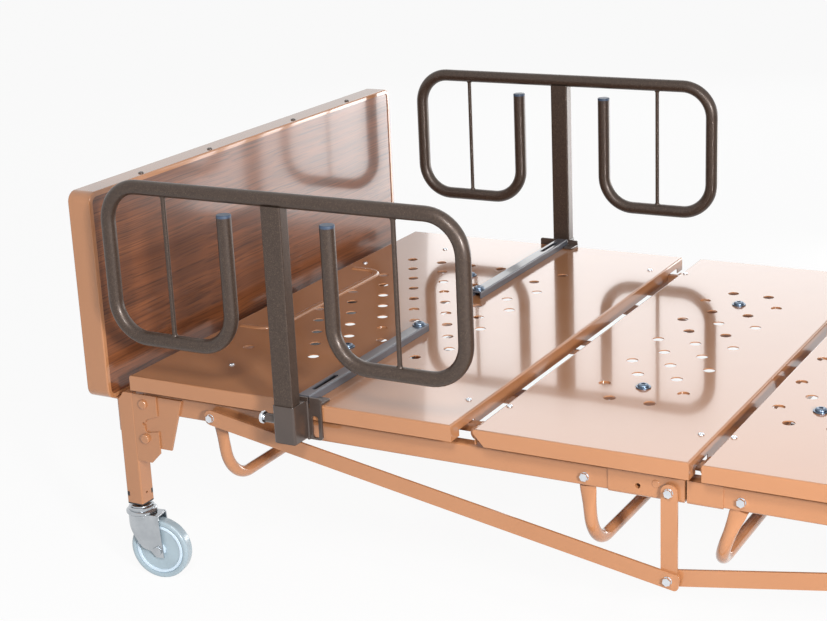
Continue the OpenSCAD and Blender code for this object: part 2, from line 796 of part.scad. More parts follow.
module head_push_tube() color(zinc) push_tube(back_pin_x - 18, -110, back_pin_x);
module knee_pull_tube() color(zinc) push_tube(thigh_pin_x - 16, 272, thigh_pin_x);

// T-rails, drawn in X and Z about the post
module hoop_run(p, q, r) {
  translate([p[0], p[1], 0]) rotate(atan2(q[1] - p[1], q[0] - p[0])) rotate([0, 90, 0])
    cylinder(h = norm(q - p), r = r);
}

module hoop_bend(x, z, a, r) {
  translate([x, z, 0]) rotate(a) rotate_extrude(angle = 90) translate([trail_bend, 0]) circle(r);
}

module hoop_half(r, hook_top) {
  b = trail_bend;
  hoop_run([0, trail_top], [trail_half - b, trail_top], r);
  hoop_bend(trail_half - b, trail_top - b, 0, r);
  hoop_run([trail_half, trail_low + b], [trail_half, trail_top - b], r);
  hoop_bend(trail_half - b, trail_low + b, 270, r);
  hoop_run([hook_half + b, trail_low], [trail_half - b, trail_low], r);
  hoop_bend(hook_half + b, trail_low + b, 180, r);
  hoop_run([hook_half, trail_low + b], [hook_half, hook_top], r);
}

module rail_hoop() {
  translate([trail_x, -trail_y, deck_z]) rotate([90, 0, 0]) difference() {
    both_ends() hoop_half(trail_d / 2, hook_top);
    both_ends() hoop_half(trail_d / 2 - hoop_wall, hook_top + 1);
  }
}

module rail_uprights() {
  under_top = trail_top - trail_d / 2 - touch;
  above_low = trail_low + trail_d / 2 + touch;
  translate([trail_x, -trail_y, lift(-60)]) linear_extrude(under_top + 60) difference() {
    rounded(post_x, post_y, 2.5);
    rounded(post_x - 4, post_y - 4, 1);
  }
  for (x = [-rod_half, rod_half]) pin_z(trail_x + x, -trail_y, above_low, under_top, 4);
}

module rail_caps() {
  for (x = [-hook_half, hook_half]) {
    pin_z(trail_x + x, -trail_y, hook_top + touch, hook_top + 3, trail_d / 2);
    translate([trail_x + x, -trail_y, lift(hook_top + 3)])
      cylinder(h = 1.5, r1 = trail_d / 2, r2 = trail_d / 2 - 2);
    pin_z(trail_x + x, -trail_y, hook_top - 14, hook_top + touch, trail_d / 2 - hoop_wall - touch);
  }
}

// Spring plunger: its nose stands just clear of the post
module plunger() {
  pin_x(trail_x - 47, trail_x - post_x / 2 - 0.5, -trail_y, latch_z, 5);
  pin_x(trail_x - 53, trail_x - 46, -trail_y, latch_z, 11);
}

module near_rail_hoop() color(bronze) rail_hoop();
module far_rail_hoop() color(bronze) mirror([0, 1, 0]) rail_hoop();
module near_rail_uprights() color(bronze) rail_uprights();
module far_rail_uprights() color(bronze) mirror([0, 1, 0]) rail_uprights();
module near_rail_caps() color(grey_blue) rail_caps();
module far_rail_caps() color(grey_blue) mirror([0, 1, 0]) rail_caps();
module near_plunger() color(zinc) plunger();
module far_plunger() color(zinc) mirror([0, 1, 0]) plunger();

// Telescoping legs and casters, drawn at the head end on the near side and mirrored
module corner(end, side) {
  mirror([end > 0 ? 1 : 0, 0, 0]) mirror([0, side > 0 ? 1 : 0, 0]) translate([-leg_x, -leg_y, 0]) children();
}

module inner_leg() {
  low = lift(inner_low);
  difference() {
    translate([0, 0, low]) linear_extrude(inner_top - inner_low) rounded(inner_w, inner_w, 2);
    translate([0, 0, low + 5]) linear_extrude(inner_top - inner_low - 17)
      rounded(inner_w - 4, inner_w - 4, 1);
    translate([0, 0, low + 20]) cylinder(h = 300, r = screw_r + run_fit);
  }
  translate([0, 0, fork_top - stem_len]) cylinder(h = low - fork_top + stem_len, r = stem_r);
}

// Fork: a round shell under the swivel ring that runs back into two flat cheeks
module fork_plan(half, front_r) {
  circle(front_r);
  translate([0, -half]) square([trail + axle_boss, 2 * half]);
}

module fork_side() {
  top = fork_top - ring_h;
  low = wheel_r - 14;
  polygon([
    [-shell_r - 4, top], [-shell_r - 4, top - 7.5], [8.5, wheel_r + 6.5], [trail - 13, wheel_r - 4],
    [trail - 4, low], [trail + axle_boss, low], [trail + axle_boss - 6, top]
  ]);
}

module caster_fork() rotate(caster_turn) {
  outer = cheek + cheek_t;
  top = fork_top - ring_h;
  difference() {
    union() {
      rotate_extrude() polygon([
        [0, top], [29, top], [29, top + 7], [24, top + 7], [24, top + 14], [20, top + 14], [20, fork_top],
        [0, fork_top]
      ]);
      intersection() {
        linear_extrude(top + 1) fork_plan(outer, shell_r);
        plate_y(-shell_r - 1, shell_r + 1) fork_side();
      }
    }
    linear_extrude(top - cheek_t) fork_plan(cheek, shell_r - cheek_t);
    translate([0, 0, top - 24]) cylinder(h = 50, r = stem_r + run_fit);
  }
  translate([trail, -cheek - 8, wheel_r]) rotate([-90, 0, 0]) cylinder(h = 2 * cheek + 16, r = axle_r);
}

module wheel_axis() {
  rotate(caster_turn) translate([trail, 0, wheel_r]) rotate([90, 0, 0]) children();
}

module wheel_hub() {
  bore = axle_r + run_fit;
  boss = cheek - 0.5;
  rim = hub_r - 0.1;
  wheel_axis() rotate_extrude() polygon([
    [bore, -boss], [13, -boss], [13, -4], [rim - 6, -4], [rim - 6, -11], [rim, -11],
    [rim, 11], [rim - 6, 11], [rim - 6, 4], [13, 4], [13, boss], [bore, boss]
  ]);
}

module wheel_tyre() {
  half = wheel_w / 2;
  edge = 5;
  wheel_axis() rotate_extrude() {
    translate([hub_r, -half + edge]) square([wheel_r - hub_r, wheel_w - 2 * edge]);
    translate([hub_r, -half]) square([wheel_r - edge - hub_r, wheel_w]);
    for (s = [-1, 1]) translate([wheel_r - edge, s * (half - edge)]) circle(edge);
  }
}

module head_near_inner_leg() color(tan_paint) corner(-1, -1) inner_leg();
module head_far_inner_leg() color(tan_paint) corner(-1, 1) inner_leg();
module foot_near_inner_leg() color(tan_paint) corner(1, -1) inner_leg();
module foot_far_inner_leg() color(tan_paint) corner(1, 1) inner_leg();
module head_near_fork() color(zinc) corner(-1, -1) caster_fork();
module head_far_fork() color(zinc) corner(-1, 1) caster_fork();
module foot_near_fork() color(zinc) corner(1, -1) caster_fork();
module foot_far_fork() color(zinc) corner(1, 1) caster_fork();
module head_near_hub() color(grey_blue) corner(-1, -1) wheel_hub();
module head_far_hub() color(grey_blue) corner(-1, 1) wheel_hub();
module foot_near_hub() color(grey_blue) corner(1, -1) wheel_hub();
module foot_far_hub() color(grey_blue) corner(1, 1) wheel_hub();
module head_near_tyre() color(tyre_grey) corner(-1, -1) wheel_tyre();
module head_far_tyre() color(tyre_grey) corner(-1, 1) wheel_tyre();
module foot_near_tyre() color(tyre_grey) corner(1, -1) wheel_tyre();
module foot_far_tyre() color(tyre_grey) corner(1, 1) wheel_tyre();

side_rails();
rail_splices();
cross_tubes();
truss_bars();
truss_struts();
frame_bolts();
end_gussets();
leg_tubes();
leg_guides();
end_beams();
board_hangers();
hilo_drives();
headboard_panel();
headboard_rim();
footboard_panel();
footboard_rim();
seat_pan();
seat_supports();
hinge_pins();
motor_spine();
bed_actuators();
control_box();
backrest_pan();
backrest_bars();
rail_clamps();
rail_arms();
backrest_bolts();
thigh_pan();
thigh_bars();
thigh_bolts();
calf_pan();
calf_bars();
calf_glides();
head_push_tube();
knee_pull_tube();
near_rail_hoop();
near_rail_uprights();
near_rail_caps();
near_plunger();
far_rail_hoop();
far_rail_uprights();
far_rail_caps();
far_plunger();
head_near_inner_leg();
head_far_inner_leg();
foot_near_inner_leg();
foot_far_inner_leg();
head_near_fork();
head_far_fork();
foot_near_fork();
foot_far_fork();
head_near_hub();
head_far_hub();
foot_near_hub();
foot_far_hub();
head_near_tyre();
head_far_tyre();
foot_near_tyre();
foot_far_tyre();
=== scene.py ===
# Adjustable hospital bed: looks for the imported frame, modelled piece by piece, in metres.
import json
import math

import bmesh
import bpy
from mathutils import Matrix, Vector


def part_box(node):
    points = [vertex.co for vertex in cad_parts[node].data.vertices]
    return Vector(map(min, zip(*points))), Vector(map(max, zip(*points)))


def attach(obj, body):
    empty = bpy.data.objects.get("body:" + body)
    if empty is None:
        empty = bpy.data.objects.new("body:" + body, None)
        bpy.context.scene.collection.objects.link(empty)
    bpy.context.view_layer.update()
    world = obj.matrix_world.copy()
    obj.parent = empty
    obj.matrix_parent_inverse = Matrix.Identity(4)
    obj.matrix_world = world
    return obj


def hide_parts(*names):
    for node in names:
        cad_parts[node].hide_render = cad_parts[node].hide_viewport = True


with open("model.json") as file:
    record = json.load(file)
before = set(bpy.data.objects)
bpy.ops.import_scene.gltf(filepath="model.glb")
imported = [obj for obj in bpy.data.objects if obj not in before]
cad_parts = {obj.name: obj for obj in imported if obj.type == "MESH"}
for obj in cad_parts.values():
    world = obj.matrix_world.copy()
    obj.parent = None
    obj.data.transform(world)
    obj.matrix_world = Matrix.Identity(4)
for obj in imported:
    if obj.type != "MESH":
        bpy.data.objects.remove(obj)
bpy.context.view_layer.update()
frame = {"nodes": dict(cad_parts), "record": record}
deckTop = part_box("seat_pan")[1].z
print("frame loaded:", len(frame["nodes"]), "nodes")


# Selecting and shaping by hand

def clearSelection():
    if bpy.context.object and bpy.context.object.mode != "OBJECT":
        bpy.ops.object.mode_set(mode="OBJECT")
    bpy.ops.object.select_all(action="DESELECT")


def takeUp(piece):
    clearSelection()
    piece.select_set(True)
    bpy.context.view_layer.objects.active = piece


def startEdit(piece):
    takeUp(piece)
    bpy.ops.object.mode_set(mode="EDIT")
    bpy.ops.mesh.select_mode(type="VERT")


def endEdit():
    bpy.ops.object.mode_set(mode="OBJECT")


def selectAll():
    bpy.ops.mesh.select_all(action="SELECT")


def pull(way):
    bpy.ops.mesh.extrude_region_move(TRANSFORM_OT_translate={"value": way})


def faceOut():
    selectAll()
    bpy.ops.mesh.normals_make_consistent(inside=False)
    endEdit()


def sealMesh():
    # doubles merged, open ends filled
    selectAll()
    bpy.ops.mesh.remove_doubles(threshold=0.00002)
    bpy.ops.mesh.fill_holes(sides=0)
    faceOut()


def settle(name):
    # the new primitive gets its name, and its place goes into its mesh
    piece = bpy.context.object
    piece.name = name
    piece.data.name = name
    bpy.ops.object.transform_apply(location=True, rotation=True, scale=True)
    return piece


def addModifier(piece, kind, **settings):
    takeUp(piece)
    modifier = piece.modifiers.new(kind.lower(), kind)
    for key, value in settings.items():
        setattr(modifier, key, value)
    bpy.ops.object.modifier_apply(modifier=modifier.name)


def smooth(piece, degrees=35):
    takeUp(piece)
    bpy.ops.object.shade_smooth_by_angle(angle=math.radians(degrees))
    addModifier(piece, "WEIGHTED_NORMAL", keep_sharp=True)


def finishPiece(piece, material, body, slot, *nodes):
    smooth(piece)
    piece.data.materials.clear()
    piece.data.materials.append(material)
    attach(piece, body)
    if nodes:
        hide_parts(*nodes)


# Materials

def rgb(hexText):
    parts = [int(hexText[i:i + 2], 16) / 255 for i in (1, 3, 5)]
    linear = [c / 12.92 if c <= 0.04045 else ((c + 0.055) / 1.055) ** 2.4 for c in parts]
    return (*linear, 1.0)


def perMetre(millimetres):
    return 1000 / millimetres


def addNode(tree, kind, settings=None, links=None):
    node = tree.nodes.new("ShaderNode" + kind)
    for key, value in (settings or {}).items():
        if isinstance(key, int) or key in node.inputs:
            node.inputs[key].default_value = value
        else:
            setattr(node, key, value)
    for key, socket in (links or {}).items():
        tree.links.new(socket, node.inputs[key])
    return node


def startMaterial(name):
    material = bpy.data.materials.new(name)
    material.use_nodes = True
    tree = material.node_tree
    tree.nodes.clear()
    return material, tree, addNode(tree, "TexCoord").outputs["Object"]


def endMaterial(tree, shader):
    addNode(tree, "OutputMaterial", links={"Surface": shader.outputs[0]})


enamel = {"colour": "#B57E57", "deep": "#AB744D", "patchMm": 160, "peelMm": 3.0}


def makeTanEnamel():
    # baked enamel on sheet steel: a warm tan under a hard, mirror-like gloss with faint orange peel
    material, tree, place = startMaterial("tan baked enamel")
    patch = addNode(tree, "TexNoise", {"Scale": perMetre(enamel["patchMm"]), "Detail": 2.0},
                    {"Vector": place})
    peel = addNode(tree, "TexNoise", {"Scale": perMetre(enamel["peelMm"]), "Detail": 1.0}, {"Vector": place})
    tone = addNode(tree, "Mix", {"data_type": "RGBA", 6: rgb(enamel["deep"]), 7: rgb(enamel["colour"])},
                   {0: patch.outputs[0]})
    dull = addNode(tree, "MapRange", {"To Min": 0.1, "To Max": 0.18}, {"Value": patch.outputs[0]})
    bump = addNode(tree, "Bump", {"Strength": 0.06, "Distance": 0.0003}, {"Height": peel.outputs[0]})
    shader = addNode(tree, "BsdfPrincipled",
                     {"IOR": 1.45, "Coat Weight": 0.6, "Coat IOR": 1.5, "Coat Roughness": 0.05},
                     {"Base Color": tone.outputs[2], "Roughness": dull.outputs[0], "Normal": bump.outputs[0]})
    endMaterial(tree, shader)
    return material


bronzeCoat = {"colour": "#4A3C34", "deep": "#352A24", "fleck": "#86725F", "fleckMm": 1.0, "hammerMm": 5.0}


def makeBronzeCoat():
    # hammered powder coat: dark bronze with light flecks; real flecks are finer and are drawn coarser to show
    material, tree, place = startMaterial("bronze hammered powder coat")
    fleck = addNode(tree, "TexNoise", {"Scale": perMetre(bronzeCoat["fleckMm"]), "Detail": 3.0},
                    {"Vector": place})
    hammer = addNode(tree, "TexNoise", {"Scale": perMetre(bronzeCoat["hammerMm"]), "Detail": 1.0},
                     {"Vector": place})
    base = addNode(tree, "Mix",
                   {"data_type": "RGBA", 6: rgb(bronzeCoat["deep"]), 7: rgb(bronzeCoat["colour"])},
                   {0: hammer.outputs[0]})
    spot = addNode(tree, "MapRange", {"From Min": 0.56, "From Max": 0.74, "To Max": 0.7},
                   {"Value": fleck.outputs[0]})
    tone = addNode(tree, "Mix", {"data_type": "RGBA", 7: rgb(bronzeCoat["fleck"])},
                   {0: spot.outputs[0], 6: base.outputs[2]})
    bump = addNode(tree, "Bump", {"Strength": 0.25, "Distance": 0.0004}, {"Height": hammer.outputs[0]})
    shader = addNode(tree, "BsdfPrincipled",
                     {"Metallic": 0.4, "Roughness": 0.38, "Coat Weight": 0.1, "Coat Roughness": 0.15},
                     {"Base Color": tone.outputs[2], "Normal": bump.outputs[0]})
    endMaterial(tree, shader)
    return material


walnut = {"light": "#87502F", "mid": "#6A3D25", "dark": "#3E2316", "bandMm": 16, "poreMm": 2.6,
          "swayMm": 220, "stretch": 0.016, "drift": 0.012}


def makeWalnutLaminate():
    # printed walnut laminate: straight grain across the bed under a glossy clear face
    material, tree, place = startMaterial("walnut grain laminate")
    along = addNode(tree, "Mapping", {"Scale": (1.0, walnut["stretch"], 1.0)}, {"Vector": place})
    sway = addNode(tree, "TexNoise", {"Scale": perMetre(walnut["swayMm"]), "Detail": 2.0}, {"Vector": place})
    drift = addNode(tree, "MixRGB", {"blend_type": "ADD", 0: walnut["drift"]},
                    {1: along.outputs[0], 2: sway.outputs[1]})
    band = addNode(tree, "TexNoise", {"Scale": perMetre(walnut["bandMm"]), "Detail": 5.0, "Roughness": 0.6},
                   {"Vector": drift.outputs[0]})
    pore = addNode(tree, "TexNoise", {"Scale": perMetre(walnut["poreMm"]), "Detail": 2.0},
                   {"Vector": drift.outputs[0]})
    warm = addNode(tree, "MapRange", {"From Min": 0.36, "From Max": 0.64}, {"Value": band.outputs[0]})
    tone = addNode(tree, "Mix", {"data_type": "RGBA", 6: rgb(walnut["mid"]), 7: rgb(walnut["light"])},
                   {0: warm.outputs[0]})
    line = addNode(tree, "MapRange", {"From Min": 0.48, "From Max": 0.7, "To Max": 0.75},
                   {"Value": pore.outputs[0]})
    shade = addNode(tree, "Mix", {"data_type": "RGBA", 7: rgb(walnut["dark"])},
                    {0: line.outputs[0], 6: tone.outputs[2]})
    shader = addNode(tree, "BsdfPrincipled",
                     {"Roughness": 0.28, "IOR": 1.4, "Coat Weight": 0.5, "Coat Roughness": 0.1},
                     {"Base Color": shade.outputs[2]})
    endMaterial(tree, shader)
    return material


def makeMetal(name, light, dark, roughness, blotchMm):
    # plated steel: bright, with the cloudy blotches that the bath leaves
    material, tree, place = startMaterial(name)
    cloud = addNode(tree, "TexNoise", {"Scale": perMetre(blotchMm), "Detail": 3.0}, {"Vector": place})
    tone = addNode(tree, "Mix", {"data_type": "RGBA", 6: rgb(dark), 7: rgb(light)}, {0: cloud.outputs[0]})
    dull = addNode(tree, "MapRange", {"To Min": roughness * 0.8, "To Max": roughness * 1.3},
                   {"Value": cloud.outputs[0]})
    shader = addNode(tree, "BsdfPrincipled", {"Metallic": 1.0},
                     {"Base Color": tone.outputs[2], "Roughness": dull.outputs[0]})
    endMaterial(tree, shader)
    return material


def makePlastic(name, light, dark, roughness, grainMm, coat=0.0):
    # moulded plastic: a fine spark-eroded grain and slight flow marks
    material, tree, place = startMaterial(name)
    flow = addNode(tree, "TexNoise", {"Scale": perMetre(45), "Detail": 2.0}, {"Vector": place})
    grain = addNode(tree, "TexNoise", {"Scale": perMetre(grainMm), "Detail": 1.0}, {"Vector": place})
    tone = addNode(tree, "Mix", {"data_type": "RGBA", 6: rgb(dark), 7: rgb(light)}, {0: flow.outputs[0]})
    bump = addNode(tree, "Bump", {"Strength": 0.12, "Distance": 0.0002}, {"Height": grain.outputs[0]})
    shader = addNode(tree, "BsdfPrincipled",
                     {"Roughness": roughness, "IOR": 1.5, "Coat Weight": coat, "Coat Roughness": 0.1},
                     {"Base Color": tone.outputs[2], "Normal": bump.outputs[0]})
    endMaterial(tree, shader)
    return material


tanEnamel = makeTanEnamel()
bronze = makeBronzeCoat()
walnutLaminate = makeWalnutLaminate()
brightZinc = makeMetal("bright zinc plate", "#F2F4F6", "#C9CED6", 0.22, 14)
slateZinc = makeMetal("slate zinc plate", "#7A8899", "#536172", 0.3, 10)
chrome = makeMetal("nickel plated steel", "#C6CACE", "#A2A7AC", 0.2, 20)
darkPaint = makePlastic("dark grey paint", "#5A5658", "#3C3838", 0.35, 3.0, 0.4)
steelPaint = makePlastic("slate grey enamel", "#5F6169", "#484A51", 0.3, 3.0, 0.5)
darkBronze = makePlastic("brown bronze paint", "#4C3E37", "#362C27", 0.3, 2.0, 0.5)
blackNylon = makePlastic("black nylon", "#26272A", "#1B1B1D", 0.5, 1.5)
greyVinyl = makePlastic("blue-grey vinyl cap", "#3F4F65", "#2E3D51", 0.45, 2.0)
paleNylon = makePlastic("pale blue nylon", "#D8E6F1", "#C3D7E7", 0.35, 2.5, 0.4)
greyTread = makePlastic("grey polyurethane", "#AEBFC8", "#96A8B2", 0.3, 2.0, 0.5)
slotLook = {"tan_paint": tanEnamel, "bronze_paint": bronze, "dark_steel": darkPaint,
            "walnut_laminate": walnutLaminate, "zinc": brightZinc, "chrome": chrome,
            "black_plastic": blackNylon, "grey_cap": greyVinyl, "wheel_hub": paleNylon, "tyre": greyTread}
print("materials made:", len(bpy.data.materials))


# What each solid rides on and is finished in
bodyOf = {node: body for body, nodes in frame["record"]["behaviour"]["bodies"].items() for node in nodes}
slotOf = {row["node"]: row["material_slot"] for row in frame["record"]["subparts"]}


# Modelling by hand: primitives, edit-mode shaping and cuts

def addBox(name, low, high):
    low, high = Vector(low), Vector(high)
    clearSelection()
    bpy.ops.mesh.primitive_cube_add(size=1, location=(low + high) / 2, scale=high - low)
    return settle(name)


def addRod(name, start, end, radius, sides=32):
    start, end = Vector(start), Vector(end)
    turn = (end - start).to_track_quat("Z", "Y").to_euler()
    clearSelection()
    bpy.ops.mesh.primitive_cylinder_add(vertices=sides, radius=radius, depth=(end - start).length,
                                        location=(start + end) / 2, rotation=turn)
    return settle(name)


def choose(kind, test):
    # selects the faces, edges or points whose middle and normal (an edge's direction) pass the test
    mesh = bmesh.from_edit_mesh(bpy.context.object.data)
    bpy.ops.mesh.select_mode(type=kind)
    bpy.ops.mesh.select_all(action="DESELECT")
    for item in {"VERT": mesh.verts, "EDGE": mesh.edges, "FACE": mesh.faces}[kind]:
        if kind == "VERT":
            middle, way = item.co, item.normal
        elif kind == "EDGE":
            ends = [v.co for v in item.verts]
            middle, way = (ends[0] + ends[1]) / 2, (ends[1] - ends[0]).normalized()
        else:
            middle, way = item.calc_center_median(), item.normal
        if test(middle, way):
            item.select_set(True)
    mesh.select_flush_mode()
    bmesh.update_edit_mesh(bpy.context.object.data)


# edges along an axis, and edges square to it
def runsX(middle, way):
    return abs(way.x) > 0.9


def notX(middle, way):
    return abs(way.x) < 0.1


def runsY(middle, way):
    return abs(way.y) > 0.9


def notY(middle, way):
    return abs(way.y) < 0.1


def runsZ(middle, way):
    return abs(way.z) > 0.9


def notZ(middle, way):
    return abs(way.z) < 0.1


def roundEdges(piece, test, radius, steps=3):
    startEdit(piece)
    choose("EDGE", test)
    bpy.ops.mesh.bevel(offset=radius, segments=steps, affect="EDGES")
    endEdit()


def pushFace(piece, test, border, depth):
    # insets the chosen face and pushes its middle along its normal
    startEdit(piece)
    choose("FACE", test)
    bpy.ops.mesh.inset(thickness=border, depth=0)
    bpy.ops.mesh.extrude_region_shrink_fatten(TRANSFORM_OT_shrink_fatten={"value": depth})
    endEdit()


def cutWith(piece, *cutters):
    for cutter in cutters:
        addModifier(piece, "BOOLEAN", object=cutter, operation="DIFFERENCE", solver="EXACT")
        bpy.data.objects.remove(cutter)


def joinPieces(name, pieces):
    clearSelection()
    for piece in pieces:
        piece.select_set(True)
    bpy.context.view_layer.objects.active = pieces[0]
    bpy.ops.object.join()
    pieces[0].name = name
    pieces[0].data.name = name
    return pieces[0]


def copyPiece(source, name, move):
    piece = source.copy()
    piece.data = source.data.copy()
    piece.name = name
    piece.data.name = name
    piece.data.transform(move)
    bpy.context.collection.objects.link(piece)
    if move.determinant() < 0:
        startEdit(piece)
        selectAll()
        bpy.ops.mesh.flip_normals()
        endEdit()
    return piece


def addTube(name, start, heading, radius, steps, sides=32, bendSteps=14):
    # a ring is pushed along runs, spun round bends and squeezed flat; steps say which, in order
    spot, heading = Vector(start), Vector(heading).normalized()
    clearSelection()
    bpy.ops.mesh.primitive_circle_add(vertices=sides, radius=radius, location=spot,
                                      rotation=heading.to_track_quat("Z", "Y").to_euler())
    piece = settle(name)
    startEdit(piece)
    selectAll()
    for step, size, side in steps:
        if step == "run":
            pull(heading * size)
            spot = spot + heading * size
        elif step == "bend":  # a quarter turn towards side; spin turns left-handed
            side = Vector(side).normalized()
            centre = spot + side * size
            bpy.ops.mesh.spin(steps=bendSteps, angle=math.pi / 2, center=centre, axis=side.cross(heading))
            spot = centre + heading * size
            heading = side
        else:
            bpy.ops.transform.resize(value=side, center_override=spot)
    sealMesh()
    return piece


def mirrorOver(x, y):
    return Matrix.Diagonal((x, y, 1, 1))


def withFarSide(name, near):
    return joinPieces(name, [near, copyPiece(near, "far", mirrorOver(1, -1))])


def atCorners(name, one):
    turns = ((1, -1), (-1, 1), (-1, -1))
    return joinPieces(name, [one, *[copyPiece(one, "corner", mirrorOver(a, b)) for a, b in turns]])


tanFrame = (tanEnamel, "frame", "tan_paint")


# Mattress pans: folded trays, open below, with air holes, hinge notches and split corners
pan = {"sheet": 0.002, "bend": 0.004, "hole": 0.0105, "stepX": 0.0355, "stepY": 0.127, "reach": 0.33,
       "notchY": (0.448, 0.504), "notchLow": 0.017, "split": 0.0016, "fold": 0.006}


def holePlaces(firstX, columns, shift, bolts, arms):
    places = []
    for column in range(columns):
        for k in range(-3, 3):
            x = firstX + column * pan["stepX"]
            y = (k + 0.5 * ((column + shift) % 2)) * pan["stepY"]
            nearBolt = any(math.hypot(x - bx, abs(y) - by) < 0.03 for bx, by in bolts)
            underArm = any(abs(x - ax) < 0.034 and abs(y) > ay for ax, ay in arms)
            if abs(y) < pan["reach"] and not nearBolt and not underArm:
                places.append((x, y))
    return places


def makePan(name, node, body, places, slant=False):
    low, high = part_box(node)
    high.z = deckTop
    tray = addBox(name, low, high)
    startEdit(tray)
    choose("FACE", lambda c, n: n.z < -0.9)
    bpy.ops.mesh.delete(type="FACE")
    choose("EDGE", lambda c, d: c.z > deckTop - 0.001)
    bpy.ops.mesh.bevel(offset=pan["bend"], segments=4, affect="EDGES")
    endEdit()
    addModifier(tray, "SOLIDIFY", thickness=pan["sheet"], offset=-1.0)
    clearSelection()
    bpy.ops.mesh.primitive_cylinder_add(vertices=28, radius=pan["hole"], depth=0.012,
                                        location=(*places[0], deckTop))
    drill = settle(name + "Drill")
    startEdit(drill)
    for x, y in places[1:]:
        bpy.ops.mesh.primitive_cylinder_add(vertices=28, radius=pan["hole"], depth=0.012,
                                            location=(x, y, deckTop))
    endEdit()
    cuts = [drill]
    for end in (low.x, high.x):
        inward = 1 if end == low.x else -1
        for side in (-1, 1):
            near, far = (side * y for y in pan["notchY"])
            cuts.append(addBox("notch", (end - 0.01, min(near, far), low.z - 0.01),
                               (end + 0.01, max(near, far), deckTop - pan["notchLow"])))
            edge = side * (high.y - pan["sheet"] - pan["split"])
            left, right = sorted((edge, edge + side * pan["split"]))
            cuts.append(addBox("split", (end - 0.001, left, low.z - 0.01),
                               (end + inward * 0.0045, right, deckTop - pan["fold"])))
            if slant and inward > 0:
                wedge = addBox("wedge", (end - 0.001, side * high.y - 0.006, low.z - 0.001),
                               (end + 0.02, side * high.y + 0.006, deckTop - pan["fold"]))
                startEdit(wedge)
                choose("VERT", lambda c, n: c.x > end + 0.01 and c.z > low.z + 0.01)
                bpy.ops.transform.translate(value=(-0.021, 0, 0))
                selectAll()
                bpy.ops.mesh.remove_doubles(threshold=0.0001)
                endEdit()
                cuts.append(wedge)
    cutWith(tray, *cuts)
    finishPiece(tray, tanEnamel, body, "tan_paint", node)


boltPlaces = {"backrest": (-0.728, 0.25), "seat": (-0.146, 0.25), "thigh": (0.158, 0.25)}
armX = -0.645
makePan("backrestPan", "backrest_pan", "backrest",
        holePlaces(-0.903, 11, 1, [boltPlaces["backrest"]], [(armX, 0.09)]))
makePan("seatPan", "seat_pan", "frame", holePlaces(-0.215, 5, 0, [boltPlaces["seat"]], []), slant=True)
makePan("thighPan", "thigh_pan", "thigh", holePlaces(0.09, 7, 0, [boltPlaces["thigh"]], []))
makePan("calfPan", "calf_pan", "calf", holePlaces(0.48, 11, 1, [], []))
print("pans folded")

# Raised bead pressed into the head of the backrest pan: a long U, open towards the headboard
bead = {"x": -0.957, "halfRun": 0.175, "bend": 0.037, "radius": 0.008, "height": 0.003, "legRun": 0.033}


def makeBead():
    start = (bead["x"] - bead["legRun"], -bead["halfRun"] - bead["bend"], deckTop)
    steps = [("run", bead["legRun"], None), ("bend", bead["bend"], (0, 1, 0)),
             ("run", 2 * bead["halfRun"], None), ("bend", bead["bend"], (-1, 0, 0)),
             ("run", bead["legRun"], None)]
    ridge = addTube("headBead", start, (1, 0, 0), bead["radius"], steps, sides=24)
    startEdit(ridge)
    selectAll()
    bpy.ops.transform.resize(value=(1, 1, bead["height"] / bead["radius"]), center_override=(0, 0, deckTop))
    bpy.ops.mesh.bisect(plane_co=(0, 0, deckTop - 0.001), plane_no=(0, 0, 1), clear_inner=True, use_fill=True)
    endEdit()
    finishPiece(ridge, tanEnamel, "backrest", "tan_paint")


makeBead()
print("bead pressed")

# T-rails: one bent tube each, a square post, thin rods, capped hooks
trail = {"radius": 0.0127, "half": 0.343, "hook": 0.1, "top": 0.36, "low": 0.09, "bend": 0.065,
         "hookTop": 0.3225, "rod": 0.222, "rodRadius": 0.004, "postX": 0.038, "postY": 0.025,
         "postLow": -0.06, "capHigh": 0.0045}
railLow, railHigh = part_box("near_rail_hoop")
trailX = (railLow.x + railHigh.x) / 2
trailY = (railLow.y + railHigh.y) / 2
acrossBed = Matrix.Translation((0, -2 * trailY, 0))


def makeHoop():
    bend = trail["bend"]
    hookRun = trail["hookTop"] - trail["low"] - bend
    lowRun = trail["half"] - trail["hook"] - 2 * bend
    sideRun = trail["top"] - trail["low"] - 2 * bend
    steps = [("run", hookRun, None), ("bend", bend, (-1, 0, 0)), ("run", lowRun, None),
             ("bend", bend, (0, 0, 1)), ("run", sideRun, None), ("bend", bend, (1, 0, 0)),
             ("run", 2 * (trail["half"] - bend), None), ("bend", bend, (0, 0, -1)), ("run", sideRun, None),
             ("bend", bend, (-1, 0, 0)), ("run", lowRun, None), ("bend", bend, (0, 0, 1)),
             ("run", hookRun, None)]
    return addTube("nearHoop", (trailX - trail["hook"], trailY, deckTop + trail["hookTop"]), (0, 0, -1),
                   trail["radius"], steps, sides=36)


